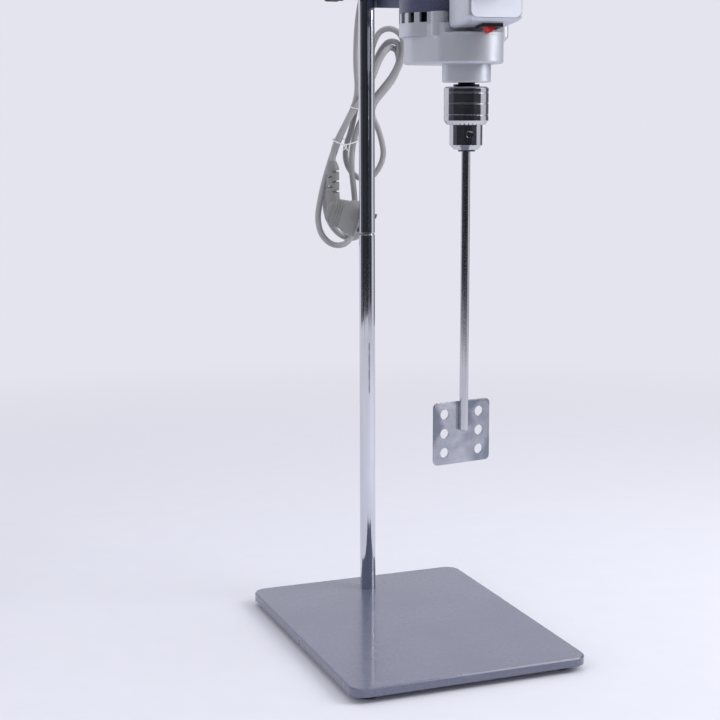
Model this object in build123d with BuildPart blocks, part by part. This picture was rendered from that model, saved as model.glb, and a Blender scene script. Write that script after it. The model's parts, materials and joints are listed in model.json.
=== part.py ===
from build123d import *
import math
import os

# Overhead stirrer on a plate stand: a flat base with a two-piece column, a gear motor
# that clamps to the column, a keyed three-jaw chuck and a perforated paddle.
# Millimetres. Z is up and Z = 0 is the bench under the feet. X = Y = 0 is the middle
# of the base plate, the front of the machine faces -Y and the column stands at the back.

# ---------------------------------------------------------------- stand sizes
plate_width = 230.0
plate_depth = 300.0
plate_thick = 8.0
plate_corner = 14.0
plate_edge = 1.2
foot_height = 6.0
foot_radius = 10.0
foot_inset = 20.0
foot_chamfer = 1.0
column_radius = 8.0
column_inset = 37.0
lower_rod_length = 369.0
upper_rod_length = 370.0
rod_chamfer = 1.0
rod_crown = 2.5

# ---------------------------------------------------------------- clearances
screw_gap = 0.06
seat_gap = 0.05
running_gap = 0.05
skin_gap = 0.3

# ---------------------------------------------------------------- screws
bolt_radius = 4.0
bolt_head_radius = 8.0
bolt_length = 30.0
stud_radius = 4.0
stud_length = 30.0
foot_screw_radius = 2.0
foot_screw_head_radius = 3.6
foot_screw_head_height = 2.2
foot_screw_length = 9.0
hex_socket_share = 0.5

# ---------------------------------------------------------------- head placement
head_z = 546.0
head_offset = 20.0
reach = 191.0

# ---------------------------------------------------------------- gears
gear_module = 1.0
gear_teeth = 55
pinion_teeth = 17
tooth_backlash = 0.16
gear_face = 7.0
gear_hub_radius = 12.0
gear_hub_height = 2.0
pinion_face = 11.0

# ---------------------------------------------------------------- gear housing
front_lobe_radius = 32.2
rear_lobe_radius = 41.3
housing_height = 24.0
housing_wall = 2.6
housing_floor = 3.5
housing_edge = 2.0
nose_radius = 21.4
nose_length = 16.1
flange_lip = 2.5
ring_radius = 45.5
ring_wall = 3.2
ring_height = 20.4
vent_width = 7.6
vent_depth = 8.6
vent_first_angle = 55.0
vent_pitch = 17.5
vents_per_side = 5
screw_boss_radius = 7.8
screw_boss_angle = 35.0
screw_boss_ring = 47.5
stub_height = 4.0
flank_height = 10.6
flange_screw_radius = 2.0
flange_screw_head_radius = 3.3
flange_screw_head_height = 2.6
flange_screw_length = 18.0
flange_screw_ring = 34.6
flange_screw_angles = (-14.0, 66.0, 114.0, 194.0)
cover_screw_radius = 1.5
cover_screw_head_radius = 2.8
cover_screw_head_height = 1.8
cover_screw_length = 6.0

# ---------------------------------------------------------------- motor
cover_wall = 2.4
cover_height = 100.0
cover_crown = 9.0
cover_vent_width = 3.0
cover_vent_length = 15.0
cover_vent_count = 12
cover_vent_ring = 27.0
shaft_radius = 4.0
stack_bore = 24.0
stack_height = 40.0
stack_lift = 40.0
rotor_gap = 0.6
rotor_slots = 12
rotor_slot_width = 3.0
rotor_slot_depth = 7.0
coil_overhang = 7.0
coil_ring_width = 12.0
fan_radius = 35.0
fan_hub_radius = 9.0
fan_height = 11.0
fan_blades = 9
fan_blade_thick = 1.6
fan_web = 1.6
commutator_radius = 11.0
commutator_height = 11.0
commutator_bars = 12
brush_width = 5.0
brush_height = 7.0
brush_length = 14.0
bridge_thick = 5.0
bridge_width = 26.0
small_bearing_radius = 9.5
small_bearing_width = 6.0
big_bearing_radius = 14.0
big_bearing_width = 7.0
tie_screw_ring = 39.6
tie_screw_radius = 1.8

# ---------------------------------------------------------------- spindle and chuck
spindle_radius = 7.5
arbor_radius = 6.0
neck_length = 3.5
collar_radius = 11.5
collar_height = 2.0
sleeve_radius = 19.8
sleeve_length = 33.0
sleeve_bore = 15.3
sleeve_groove_width = 0.9
sleeve_groove_depth = 0.5
sleeve_groove_heights = (8.6, 18.4, 27.8)
bevel_teeth = 30
bevel_height = 5.2
bevel_shrink = 2.4
bevel_depth = 1.7
chuck_nose_radius = 14.6
chuck_nose_length = 21.8
chuck_bevel = 4.1
chuck_body_radius = 15.2
chuck_bore = 5.2
key_hole_radius = 3.1
key_hole_drop = 8.4
nut_radius = 17.3
nut_height = 6.8
nut_seat_radius = 13.2
nut_offset = 6.0
jaw_radius = 2.75
jaw_tilt = 10.0
jaw_length = 32.0
jaw_protrusion = 1.6
jaw_reach = 5.5
jaw_count = 3
jaw_first_angle = -41.0

# ---------------------------------------------------------------- stirring tool
stirrer_radius = 4.0
stirrer_length = 286.8
stirrer_insertion = 33.4
paddle_width = 60.0
paddle_height = 57.6
paddle_thick = 2.0
paddle_corner = 4.5
paddle_turn = 7.9
paddle_overlap = 26.7
paddle_hole_radius = 4.6
paddle_hole_pitch = 17.8
paddle_hole_side = 18.4
weld_flat = 1.0

# ---------------------------------------------------------------- clamp
boss_radius = 19.0
boss_height = 36.0
boss_lift = 66.5
liner_wall = 2.5
liner_slit = 3.0
arm_width = 24.0
arm_left = 8.4
arm_rise = 7.0
arm_bottom = 51.7
arm_top_gap = 2.0
saddle_width = 50.0
saddle_depth = 14.0
saddle_out = 4.0
saddle_screw_inset = 5.5
clamp_screw_radius = 4.0
clamp_screw_out = 13.0
knob_radius = 22.5
knob_thick = 14.0
knob_gap = 8.0
knob_lobes = 7
knob_lobe_radius = 6.5
bracket_screw_radius = 2.5
bracket_screw_head_radius = 4.2
bracket_screw_head_height = 3.0
bracket_screw_length = 9.6

# ---------------------------------------------------------------- control box
box_width = 50.0
box_depth = 43.0
box_gap = 0.5
pad_width = 30.0
pad_height = 84.0
pad_lift = 66.0
box_height = 116.0
box_front = 59.0
box_lift = 28.5
box_slope = 6.0
box_wall = 2.4
box_corner = 3.0
box_bottom_corner = 5.0
panel_margin = 1.6
panel_corner = 6.0
panel_thick = 1.6
display_width = 34.0
display_height = 18.0
display_drop = 24.0
display_thick = 1.2
dial_radius = 13.0
dial_height = 15.0
dial_drop = 74.0
dial_shaft_radius = 3.0
dial_flutes = 18
board_thick = 1.6
switch_length = 17.0
switch_width = 13.0
switch_body = 13.0
switch_rim = 1.2
switch_lip = 3.0
switch_back = 19.0
switch_side = 2.5
rocker_length = 13.5
rocker_width = 9.5
rocker_ridge = 6.0
rocker_rest_tilt = 8.0
rocker_pivot_radius = 1.2
rocker_sink = 1.5

# ---------------------------------------------------------------- mains cord
cord_radius = 3.0
gland_radius = 6.0
gland_length = 22.0
gland_lift = 118.0
cord_route = [
    (20.0, 40.0, 664.0),
    (21.5, 70.0, 666.0),
    (22.5, 100.0, 665.5),
    (19.0, 126.0, 656.0),
    (11.0, 144.0, 634.0),
    (3.5, 152.0, 606.0),
    (-0.5, 152.0, 577.0),
    (-0.2, 152.0, 548.0),
]
cord_end = (-0.2, 152.0, 514.0)
hank_front = 146.0
hank_thick = 25.0
loops_front = 165.0
loops_thick = 9.0
hank_outline = [
    (-7.0, 514.0), (7.0, 514.0), (13.0, 545.0), (21.0, 572.0), (31.0, 589.0), (43.0, 593.0),
    (55.0, 585.0), (62.0, 566.0), (60.0, 549.0), (50.0, 532.0), (36.0, 517.0), (24.0, 504.0),
    (12.0, 488.0), (6.0, 468.0), (4.0, 452.0), (-27.0, 452.0), (-26.0, 462.0), (-20.0, 478.0),
    (-13.0, 495.0),
]
loops_outline = [
    (-27.0, 470.0), (-36.0, 440.0), (-43.0, 412.0), (-40.0, 388.0), (-28.0, 371.0),
    (-14.0, 365.0), (2.0, 372.0), (7.0, 390.0), (5.0, 430.0), (20.0, 438.0), (34.0, 448.0),
    (40.0, 465.0), (36.0, 484.0), (26.0, 500.0), (10.0, 500.0),
]
tie_width = 2.4
tie_thick = 0.8
tie_spans = [(-24.8, 9.0, 470.0), (-11.8, 26.6, 503.0)]
plug_face = (2.0, 136.0, 394.0)
plug_axis = (0.80, -0.50, -0.33)
plug_radius = 18.0
plug_length = 27.0
plug_back_radius = 14.0
plug_neck_top = (-20.0, 152.0, 452.0)
plug_neck_radius = 6.5
plug_neck_setback = 17.0
pin_radius = 2.4
pin_length = 14.0
pin_pitch = 19.0

# ---------------------------------------------------------------- derived places
plate_bottom = foot_height
plate_top = plate_bottom + plate_thick
column_y = plate_depth / 2 - column_inset
seam_z = plate_top + lower_rod_length
spindle_x = head_offset
spindle_y = column_y - reach
gear_centres = gear_module * (gear_teeth + pinion_teeth) / 2
motor_y = spindle_y + gear_centres
nose_z = head_z - nose_length
flange_z = head_z + housing_height
lip_z = flange_z + flange_lip
ring_top = flange_z + ring_height
cover_top = ring_top + cover_height
sleeve_top = nose_z - neck_length
sleeve_bottom = sleeve_top - sleeve_length
chuck_bottom = sleeve_bottom - chuck_nose_length
nut_z = sleeve_bottom + nut_offset
gear_z = head_z + 8.0
rotor_bearing_z = head_z + 1.0
boss_z = head_z + boss_lift
stack_z = flange_z + stack_lift
commutator_z = stack_z + stack_height + coil_overhang + 1.0
bridge_z = commutator_z + commutator_height + 4.0
clamp_z = boss_z + boss_height / 2

os.makedirs("parts", exist_ok=True)


def keep(piece, label):
    """Name one finished piece and write its STEP file."""
    piece.part.label = label
    export_step(piece.part, f"parts/{label}.step")


def column_plane(z):
    """Horizontal plane centred on the column at height z."""
    return Plane(origin=(0, column_y, z))


def spindle_plane(z):
    """Horizontal plane centred on the spindle at height z."""
    return Plane(origin=(spindle_x, spindle_y, z))


def motor_plane(z):
    """Horizontal plane centred on the motor shaft at height z."""
    return Plane(origin=(spindle_x, motor_y, z))


def knob_plane(x):
    """Upright plane across the clamp screw's axis, facing away from the column."""
    return Plane(origin=(x, column_y, clamp_z), x_dir=(0, 1, 0), z_dir=(-1, 0, 0))


def back_plane(x, y, z):
    """Upright plane that faces the back of the machine."""
    return Plane(origin=(x, y, z), x_dir=(1, 0, 0), z_dir=(0, 1, 0))


def foot_places():
    """Centres of the four feet under the plate."""
    return GridLocations(plate_width - 2 * foot_inset, plate_depth - 2 * foot_inset, 2, 2)


def cover_screw_plane(index):
    """Plane on the cover's wall at one of its fixing screws."""
    angle = math.radians(45 + 90 * index)
    outward = Vector(math.cos(angle), math.sin(angle), 0)
    seat = Vector(spindle_x, motor_y, bridge_z + bridge_thick / 2) + outward * ring_radius
    return Plane(origin=seat, x_dir=(0, 0, 1), z_dir=outward)


# ================================================================ stand
with BuildPart() as base_plate:
    with BuildSketch(Plane.XY.offset(plate_bottom)):
        RectangleRounded(plate_width, plate_depth, plate_corner)
    extrude(amount=plate_thick)
    chamfer(base_plate.faces().sort_by(Axis.Z)[-1].edges(), length=plate_edge)
    with BuildSketch(column_plane(plate_bottom)):
        Circle(bolt_radius + screw_gap)
    extrude(amount=plate_thick, mode=Mode.SUBTRACT)
    head_depth = bolt_head_radius - bolt_radius
    with Locations((0, column_y, plate_bottom + head_depth / 2)):
        Cone(bolt_head_radius + screw_gap, bolt_radius + screw_gap, head_depth, mode=Mode.SUBTRACT)
    with BuildSketch(Plane.XY.offset(plate_bottom)):
        with foot_places():
            Circle(foot_screw_radius + screw_gap)
    screw_bite = foot_screw_length - (foot_height - foot_screw_head_height - 1.0)
    extrude(amount=screw_bite + 0.5, mode=Mode.SUBTRACT)
keep(base_plate, "base_plate")

with BuildPart() as rubber_feet:
    with BuildSketch(Plane.XY):
        with foot_places():
            Circle(foot_radius)
            Circle(foot_screw_radius + screw_gap, mode=Mode.SUBTRACT)
    extrude(amount=foot_height)
    recess_depth = foot_screw_head_height + 1.0
    with BuildSketch(Plane.XY):
        with foot_places():
            Circle(foot_screw_head_radius + screw_gap)
    extrude(amount=recess_depth, mode=Mode.SUBTRACT)
    rims = rubber_feet.edges().filter_by(GeomType.CIRCLE).filter_by(lambda e: e.radius > foot_radius - 0.1)
    chamfer(rims.group_by(Axis.Z)[0], length=foot_chamfer)
keep(rubber_feet, "rubber_feet")

with BuildPart() as foot_screws:
    with BuildSketch(Plane.XY.offset(1.0)):
        with foot_places():
            Circle(foot_screw_head_radius)
    extrude(amount=foot_screw_head_height)
    with BuildSketch(Plane.XY.offset(1.0 + foot_screw_head_height)):
        with foot_places():
            Circle(foot_screw_radius)
    extrude(amount=foot_screw_length)
    with BuildSketch(Plane.XY.offset(1.0)):
        with foot_places():
            RegularPolygon(foot_screw_head_radius * hex_socket_share, 6)
    extrude(amount=foot_screw_head_height / 2, mode=Mode.SUBTRACT)
keep(foot_screws, "foot_screws")

with BuildPart() as column_bolt:
    with BuildSketch(column_plane(plate_bottom)):
        Circle(bolt_radius)
    extrude(amount=bolt_length)
    with Locations((0, column_y, plate_bottom + head_depth / 2)):
        Cone(bolt_head_radius, bolt_radius, head_depth)
    with BuildSketch(column_plane(plate_bottom)):
        RegularPolygon(bolt_head_radius * 0.36, 6)
    extrude(amount=head_depth, mode=Mode.SUBTRACT)
keep(column_bolt, "column_bolt")

with BuildPart() as column_lower:
    with BuildSketch(column_plane(plate_top)):
        Circle(column_radius)
    extrude(amount=lower_rod_length)
    chamfer(column_lower.faces().sort_by(Axis.Z)[-1].edges(), length=rod_chamfer)
    with BuildSketch(column_plane(plate_top)):
        Circle(bolt_radius + screw_gap)
    extrude(amount=bolt_length - plate_thick + 2.0, mode=Mode.SUBTRACT)
    with BuildSketch(column_plane(seam_z)):
        Circle(stud_radius + screw_gap)
    extrude(amount=-(stud_length / 2 + 1.0), mode=Mode.SUBTRACT)
keep(column_lower, "column_lower")

with BuildPart() as column_stud:
    with BuildSketch(column_plane(seam_z - stud_length / 2)):
        Circle(stud_radius)
    extrude(amount=stud_length)
    chamfer(column_stud.edges().filter_by(GeomType.CIRCLE), length=0.6)
keep(column_stud, "column_stud")

with BuildPart() as column_upper:
    with BuildSketch(column_plane(seam_z)):
        Circle(column_radius)
    extrude(amount=upper_rod_length)
    chamfer(column_upper.faces().sort_by(Axis.Z)[0].edges(), length=rod_chamfer)
    fillet(column_upper.faces().sort_by(Axis.Z)[-1].edges(), radius=rod_crown)
    with BuildSketch(column_plane(seam_z)):
        Circle(stud_radius + screw_gap)
    extrude(amount=stud_length / 2 + 1.0, mode=Mode.SUBTRACT)
keep(column_upper, "column_upper")

# ================================================================ column clamp
liner_bore = column_radius + running_gap
liner_outer = liner_bore + liner_wall
boss_bore = liner_outer + running_gap

with BuildPart() as clamp_liner:
    with BuildSketch(column_plane(boss_z)):
        Circle(liner_outer)
        Circle(liner_bore, mode=Mode.SUBTRACT)
        with Locations((0, liner_outer)):
            Rectangle(liner_slit, 2 * liner_wall + 2 * liner_slit, mode=Mode.SUBTRACT)
    extrude(amount=boss_height)
keep(clamp_liner, "clamp_liner")

arm_z = head_z + arm_bottom
arm_top = boss_z + boss_height + arm_top_gap
arm_front = motor_y + ring_radius - 6.0
arm_back = column_y + boss_radius * 0.5
saddle_x = spindle_x
saddle_bottom = arm_z - 2.0

saddle_back = motor_y + ring_radius + saddle_out
bracket_screw_face = Plane(
    origin=(saddle_x, saddle_back, (arm_z + arm_top) / 2),
    x_dir=(1, 0, 0),
    z_dir=(0, 1, 0),
)


def bracket_screw_places():
    """Centres of the four screws through the saddle."""
    return GridLocations(
        saddle_width - 2 * saddle_screw_inset,
        arm_top - arm_z - 2 * saddle_screw_inset,
        2,
        2,
    )


with BuildPart() as head_bracket:
    # the arm tapers slightly upward towards the column
    with BuildSketch(Plane.YZ.offset(arm_left)):
        with BuildLine():
            Polyline(
                (arm_front, arm_z),
                (arm_back, arm_z + arm_rise),
                (arm_back, arm_top),
                (arm_front, arm_top),
                close=True,
            )
        make_face()
    extrude(amount=arm_width)
    fillet(head_bracket.edges().filter_by(Axis.Z).sort_by(Axis.Y)[-2:], radius=6.0)
    with BuildSketch(column_plane(boss_z)):
        Circle(boss_radius)
    extrude(amount=boss_height)
    # saddle against the motor cover
    with BuildSketch(Plane(origin=(saddle_x, saddle_back - saddle_depth / 2, saddle_bottom))):
        RectangleRounded(saddle_width, saddle_depth, 3.0)
    extrude(amount=arm_top - saddle_bottom)
    with BuildSketch(motor_plane(saddle_bottom - 1.0)):
        Circle(ring_radius + seat_gap)
    extrude(amount=arm_top - saddle_bottom + 2.0, mode=Mode.SUBTRACT)
    with BuildSketch(column_plane(arm_z - 1.0)):
        Circle(boss_bore)
    extrude(amount=arm_top - arm_z + 2.0, mode=Mode.SUBTRACT)
    with BuildSketch(knob_plane(0)):
        Circle(clamp_screw_radius + screw_gap)
    extrude(amount=boss_radius + 1.0, mode=Mode.SUBTRACT)
    with BuildSketch(bracket_screw_face):
        with bracket_screw_places():
            Circle(bracket_screw_radius + screw_gap)
    extrude(amount=-saddle_depth, mode=Mode.SUBTRACT)
keep(head_bracket, "head_bracket")

knob_x = -(boss_radius + knob_gap)
clamp_screw_start = -(liner_outer + 0.15)

with BuildPart() as clamp_screw:
    with BuildSketch(knob_plane(clamp_screw_start)):
        Circle(clamp_screw_radius)
    extrude(amount=clamp_screw_start - knob_x + clamp_screw_out - 3.0)
keep(clamp_screw, "clamp_screw")

with BuildPart() as clamp_knob:
    with BuildSketch(knob_plane(knob_x)):
        Circle(knob_radius - knob_lobe_radius * 0.55)
        with PolarLocations(knob_radius - knob_lobe_radius, knob_lobes, start_angle=-90):
            Circle(knob_lobe_radius)
    extrude(amount=knob_thick)
    fillet(clamp_knob.faces().sort_by(Axis.X)[0].edges(), radius=2.5)
    fillet(clamp_knob.faces().sort_by(Axis.X)[-1].edges(), radius=1.0)
    with BuildSketch(knob_plane(knob_x + 5.0)):
        Circle(9.0)
    extrude(amount=6.0)
    with BuildSketch(knob_plane(knob_x + 6.0)):
        Circle(clamp_screw_radius + screw_gap)
    extrude(amount=clamp_screw_out + 6.0, mode=Mode.SUBTRACT)
keep(clamp_knob, "clamp_knob")

with BuildPart() as bracket_screws:
    with BuildSketch(bracket_screw_face):
        with bracket_screw_places():
            Circle(bracket_screw_head_radius)
    extrude(amount=bracket_screw_head_height)
    with BuildSketch(bracket_screw_face):
        with bracket_screw_places():
            Circle(bracket_screw_radius)
    extrude(amount=-bracket_screw_length)
    with BuildSketch(bracket_screw_face.offset(bracket_screw_head_height)):
        with bracket_screw_places():
            RegularPolygon(bracket_screw_head_radius * hex_socket_share, 6)
    extrude(amount=-bracket_screw_head_height / 2, mode=Mode.SUBTRACT)
keep(bracket_screws, "bracket_screws")


# ================================================================ gears
def gear_face_sketch(plane, teeth, phase):
    """Spur gear outline with straight-flanked teeth of the shared module."""
    pitch = gear_module * teeth / 2
    root = pitch - 1.15 * gear_module
    tip = pitch + 0.9 * gear_module
    half_pitch = (math.pi * gear_module / 2 - tooth_backlash) / 2
    half_root = half_pitch + 1.0 * gear_module * math.tan(math.radians(19))
    half_tip = half_pitch - 0.9 * gear_module * math.tan(math.radians(21))
    tooth = [
        (root - 0.4, -half_root),
        (pitch, -half_pitch),
        (tip, -half_tip),
        (tip, half_tip),
        (pitch, half_pitch),
        (root - 0.4, half_root),
    ]
    with BuildSketch(plane) as outline:
        Circle(root)
        with PolarLocations(0, teeth, start_angle=phase):
            Polygon(*tooth, align=None)
    return outline


pinion_step = 360.0 / pinion_teeth
gear_outline = gear_face_sketch(spindle_plane(gear_z), gear_teeth, 90.0)
pinion_outline = gear_face_sketch(motor_plane(gear_z - 0.5), pinion_teeth, 270.0 + pinion_step / 2)

with BuildPart() as output_gear:
    extrude(gear_outline.sketch, amount=gear_face)
    with BuildSketch(spindle_plane(gear_z + gear_face)):
        Circle(gear_hub_radius)
    extrude(amount=gear_hub_height)
    with BuildSketch(spindle_plane(gear_z)):
        with PolarLocations(18.0, 6):
            Circle(3.6)
    extrude(amount=gear_face, mode=Mode.SUBTRACT)
    with BuildSketch(spindle_plane(gear_z)):
        Circle(spindle_radius + screw_gap)
    extrude(amount=gear_face + gear_hub_height, mode=Mode.SUBTRACT)
keep(output_gear, "output_gear")

with BuildPart() as pinion:
    extrude(pinion_outline.sketch, amount=pinion_face)
    with BuildSketch(motor_plane(gear_z - 0.5)):
        Circle(shaft_radius + screw_gap)
    extrude(amount=pinion_face, mode=Mode.SUBTRACT)
keep(pinion, "pinion")


# ================================================================ gear housing
def housing_outline(plane, shrink):
    """Two round lobes joined by their tangents, moved inward by shrink."""
    with BuildSketch(plane) as outline:
        with BuildLine():
            CenterArc((0, 0), front_lobe_radius - shrink, 0, 360)
        make_face()
        with BuildLine():
            CenterArc((0, gear_centres), rear_lobe_radius - shrink, 0, 360)
        make_face()
        make_hull()
    return outline


boss_angles = tuple(-90 - screw_boss_angle + 120 * index for index in range(3))
bearing_floor = nose_z + 3.0
upper_bearing_z = flange_z - big_bearing_width + 0.4

with BuildPart() as gear_housing:
    extrude(housing_outline(spindle_plane(head_z), 0).sketch, amount=housing_height)
    fillet(gear_housing.faces().sort_by(Axis.Z)[0].edges(), radius=housing_edge)
    with BuildSketch(spindle_plane(nose_z)):
        Circle(nose_radius)
    extrude(amount=nose_length + 1.0)
    chamfer(gear_housing.faces().sort_by(Axis.Z)[0].edges(), length=0.8)
    extrude(
        housing_outline(spindle_plane(head_z + housing_floor), housing_wall).sketch,
        amount=housing_height,
        mode=Mode.SUBTRACT,
    )
    # seat of the rotor shaft's lower bearing
    with BuildSketch(motor_plane(head_z + 1.0)):
        Circle(small_bearing_radius + 2.4)
    extrude(amount=small_bearing_width - 0.5)
    with BuildSketch(motor_plane(rotor_bearing_z)):
        Circle(small_bearing_radius + seat_gap)
    extrude(amount=housing_height, mode=Mode.SUBTRACT)
    # spindle bore with the lower bearing's pocket
    with BuildSketch(spindle_plane(nose_z - 1.0)):
        Circle(spindle_radius + 1.5)
    extrude(amount=nose_length + housing_floor + 2.0, mode=Mode.SUBTRACT)
    with BuildSketch(spindle_plane(bearing_floor)):
        Circle(big_bearing_radius + seat_gap)
    extrude(amount=nose_length + housing_floor, mode=Mode.SUBTRACT)
    # tapered stubs that carry the flange's bosses down into the wall
    for angle in boss_angles:
        with Locations(motor_plane(flange_z - stub_height / 2)):
            with PolarLocations(screw_boss_ring, 1, start_angle=angle):
                Cone(screw_boss_radius - stub_height, screw_boss_radius, stub_height)
    with BuildSketch(motor_plane(head_z + housing_floor)):
        Circle(rear_lobe_radius - housing_wall)
    extrude(amount=housing_height, mode=Mode.SUBTRACT)
    # bosses inside the wall that take the flange's screws
    with BuildSketch(motor_plane(head_z + 1.0)):
        for angle in flange_screw_angles:
            with PolarLocations(flange_screw_ring, 1, start_angle=angle):
                Circle(flange_screw_radius + 2.6)
    extrude(amount=housing_height - 1.0)
    with BuildSketch(motor_plane(head_z + housing_floor)):
        for angle in flange_screw_angles:
            with PolarLocations(flange_screw_ring, 1, start_angle=angle):
                Circle(flange_screw_radius + screw_gap)
    extrude(amount=housing_height, mode=Mode.SUBTRACT)
keep(gear_housing, "gear_housing")

with BuildPart() as motor_flange:
    extrude(housing_outline(spindle_plane(flange_z), 0).sketch, amount=flank_height)
    # the flanks end behind the control box
    with BuildSketch(Plane(origin=(spindle_x, spindle_y - 2 * front_lobe_radius, lip_z))):
        Rectangle(4 * front_lobe_radius, 2 * (2 * front_lobe_radius - box_front + box_depth + box_gap))
    extrude(amount=flank_height, mode=Mode.SUBTRACT)
    with BuildSketch(motor_plane(flange_z)):
        Circle(ring_radius)
    extrude(amount=ring_height)
    with BuildSketch(motor_plane(flange_z)):
        for angle in boss_angles:
            with PolarLocations(screw_boss_ring, 1, start_angle=angle):
                Circle(screw_boss_radius)
    extrude(amount=ring_height)
    with BuildSketch(motor_plane(flange_z + flange_lip)):
        Circle(ring_radius - ring_wall)
    extrude(amount=ring_height, mode=Mode.SUBTRACT)
    # cooling slots open at the rim
    with BuildSketch(motor_plane(ring_top - vent_depth)):
        for side in (-1, 1):
            for i in range(vents_per_side):
                angle = -90 + side * (vent_first_angle + i * vent_pitch)
                with PolarLocations(ring_radius, 1, start_angle=angle):
                    Rectangle(4 * ring_wall, vent_width)
    extrude(amount=vent_depth + 1.0, mode=Mode.SUBTRACT)
    # pocket of the spindle's upper bearing
    with BuildSketch(spindle_plane(upper_bearing_z)):
        Circle(big_bearing_radius + 2.6)
    extrude(amount=flange_z - upper_bearing_z)
    with BuildSketch(spindle_plane(upper_bearing_z - 0.5)):
        Circle(big_bearing_radius + seat_gap)
    extrude(amount=big_bearing_width + 0.6, mode=Mode.SUBTRACT)
    # pocket of the rotor shaft's middle bearing
    with BuildSketch(motor_plane(flange_z)):
        Circle(small_bearing_radius + 2.4)
    extrude(amount=small_bearing_width + 0.6)
    with BuildSketch(motor_plane(flange_z - 0.5)):
        Circle(small_bearing_radius + seat_gap)
    extrude(amount=small_bearing_width + 0.5, mode=Mode.SUBTRACT)
    with BuildSketch(motor_plane(flange_z)):
        Circle(shaft_radius + 1.5)
    extrude(amount=ring_height, mode=Mode.SUBTRACT)
    # holes of the screws into the gear housing
    with BuildSketch(motor_plane(flange_z)):
        for angle in flange_screw_angles:
            with PolarLocations(flange_screw_ring, 1, start_angle=angle):
                Circle(flange_screw_radius + screw_gap)
    extrude(amount=flange_lip, mode=Mode.SUBTRACT)
keep(motor_flange, "motor_flange")

with BuildPart() as flange_screws:
    with BuildSketch(motor_plane(lip_z)):
        for angle in flange_screw_angles:
            with PolarLocations(flange_screw_ring, 1, start_angle=angle):
                Circle(flange_screw_head_radius)
    extrude(amount=flange_screw_head_height)
    with BuildSketch(motor_plane(lip_z)):
        for angle in flange_screw_angles:
            with PolarLocations(flange_screw_ring, 1, start_angle=angle):
                Circle(flange_screw_radius)
    extrude(amount=-flange_screw_length)
    with BuildSketch(motor_plane(lip_z + flange_screw_head_height)):
        for angle in flange_screw_angles:
            with PolarLocations(flange_screw_ring, 1, start_angle=angle):
                RegularPolygon(flange_screw_head_radius * hex_socket_share, 6)
    extrude(amount=-flange_screw_head_height / 2, mode=Mode.SUBTRACT)
keep(flange_screws, "flange_screws")


# ================================================================ bearings
def bearing(plane_at, z, bore, outer, width):
    """Closed ball bearing: two races with a recessed shield on each side."""
    with BuildPart() as ring:
        with BuildSketch(plane_at(z)):
            Circle(outer)
            Circle(bore, mode=Mode.SUBTRACT)
        extrude(amount=width)
        for face_z, depth in ((z, 0.4), (z + width, -0.4)):
            with BuildSketch(plane_at(face_z)):
                Circle(outer - 1.6)
                Circle(bore + 1.4, mode=Mode.SUBTRACT)
            extrude(amount=depth, mode=Mode.SUBTRACT)
    return ring.part


with BuildPart() as spindle_bearings:
    add(bearing(spindle_plane, bearing_floor + 0.1, spindle_radius + running_gap,
                big_bearing_radius, big_bearing_width))
    add(bearing(spindle_plane, upper_bearing_z, spindle_radius + running_gap,
                big_bearing_radius, big_bearing_width))
keep(spindle_bearings, "spindle_bearings")

with BuildPart() as motor_bearings:
    add(bearing(motor_plane, rotor_bearing_z + 0.1, shaft_radius + running_gap,
                small_bearing_radius, small_bearing_width))
    add(bearing(motor_plane, flange_z + 0.1, shaft_radius + running_gap,
                small_bearing_radius, small_bearing_width - 0.3))
    add(bearing(motor_plane, bridge_z + 0.1, shaft_radius + running_gap,
                small_bearing_radius, small_bearing_width))
keep(motor_bearings, "motor_bearings")

# ================================================================ rotor
shaft_bottom = rotor_bearing_z + 0.4
shaft_top = bridge_z + small_bearing_width
rotor_radius = stack_bore - rotor_gap

with BuildPart() as rotor_shaft:
    with BuildSketch(motor_plane(shaft_bottom)):
        Circle(shaft_radius)
    extrude(amount=shaft_top - shaft_bottom)
    chamfer(rotor_shaft.edges().filter_by(GeomType.CIRCLE), length=0.5)
keep(rotor_shaft, "rotor_shaft")

with BuildPart() as armature:
    with BuildSketch(motor_plane(stack_z)):
        Circle(rotor_radius)
        with PolarLocations(rotor_radius, rotor_slots):
            Rectangle(2 * rotor_slot_depth, rotor_slot_width, mode=Mode.SUBTRACT)
        Circle(shaft_radius + screw_gap, mode=Mode.SUBTRACT)
    extrude(amount=stack_height)
keep(armature, "armature")

with BuildPart() as rotor_winding:
    for base in (stack_z - coil_overhang, stack_z + stack_height):
        with BuildSketch(motor_plane(base)):
            Circle(rotor_radius - 2.5)
            Circle(rotor_radius - coil_ring_width, mode=Mode.SUBTRACT)
        extrude(amount=coil_overhang)
    with BuildSketch(motor_plane(stack_z - 0.5)):
        with PolarLocations(rotor_radius - rotor_slot_depth / 2 - 1.0, rotor_slots):
            Rectangle(rotor_slot_depth - 2.4, rotor_slot_width - 0.4)
    extrude(amount=stack_height + 1.0)
keep(rotor_winding, "rotor_winding")

with BuildPart() as commutator:
    with BuildSketch(motor_plane(commutator_z)):
        Circle(commutator_radius)
        with PolarLocations(commutator_radius, commutator_bars):
            Rectangle(1.2, 0.6, mode=Mode.SUBTRACT)
        Circle(shaft_radius + screw_gap, mode=Mode.SUBTRACT)
    extrude(amount=commutator_height)
keep(commutator, "commutator")

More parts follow.
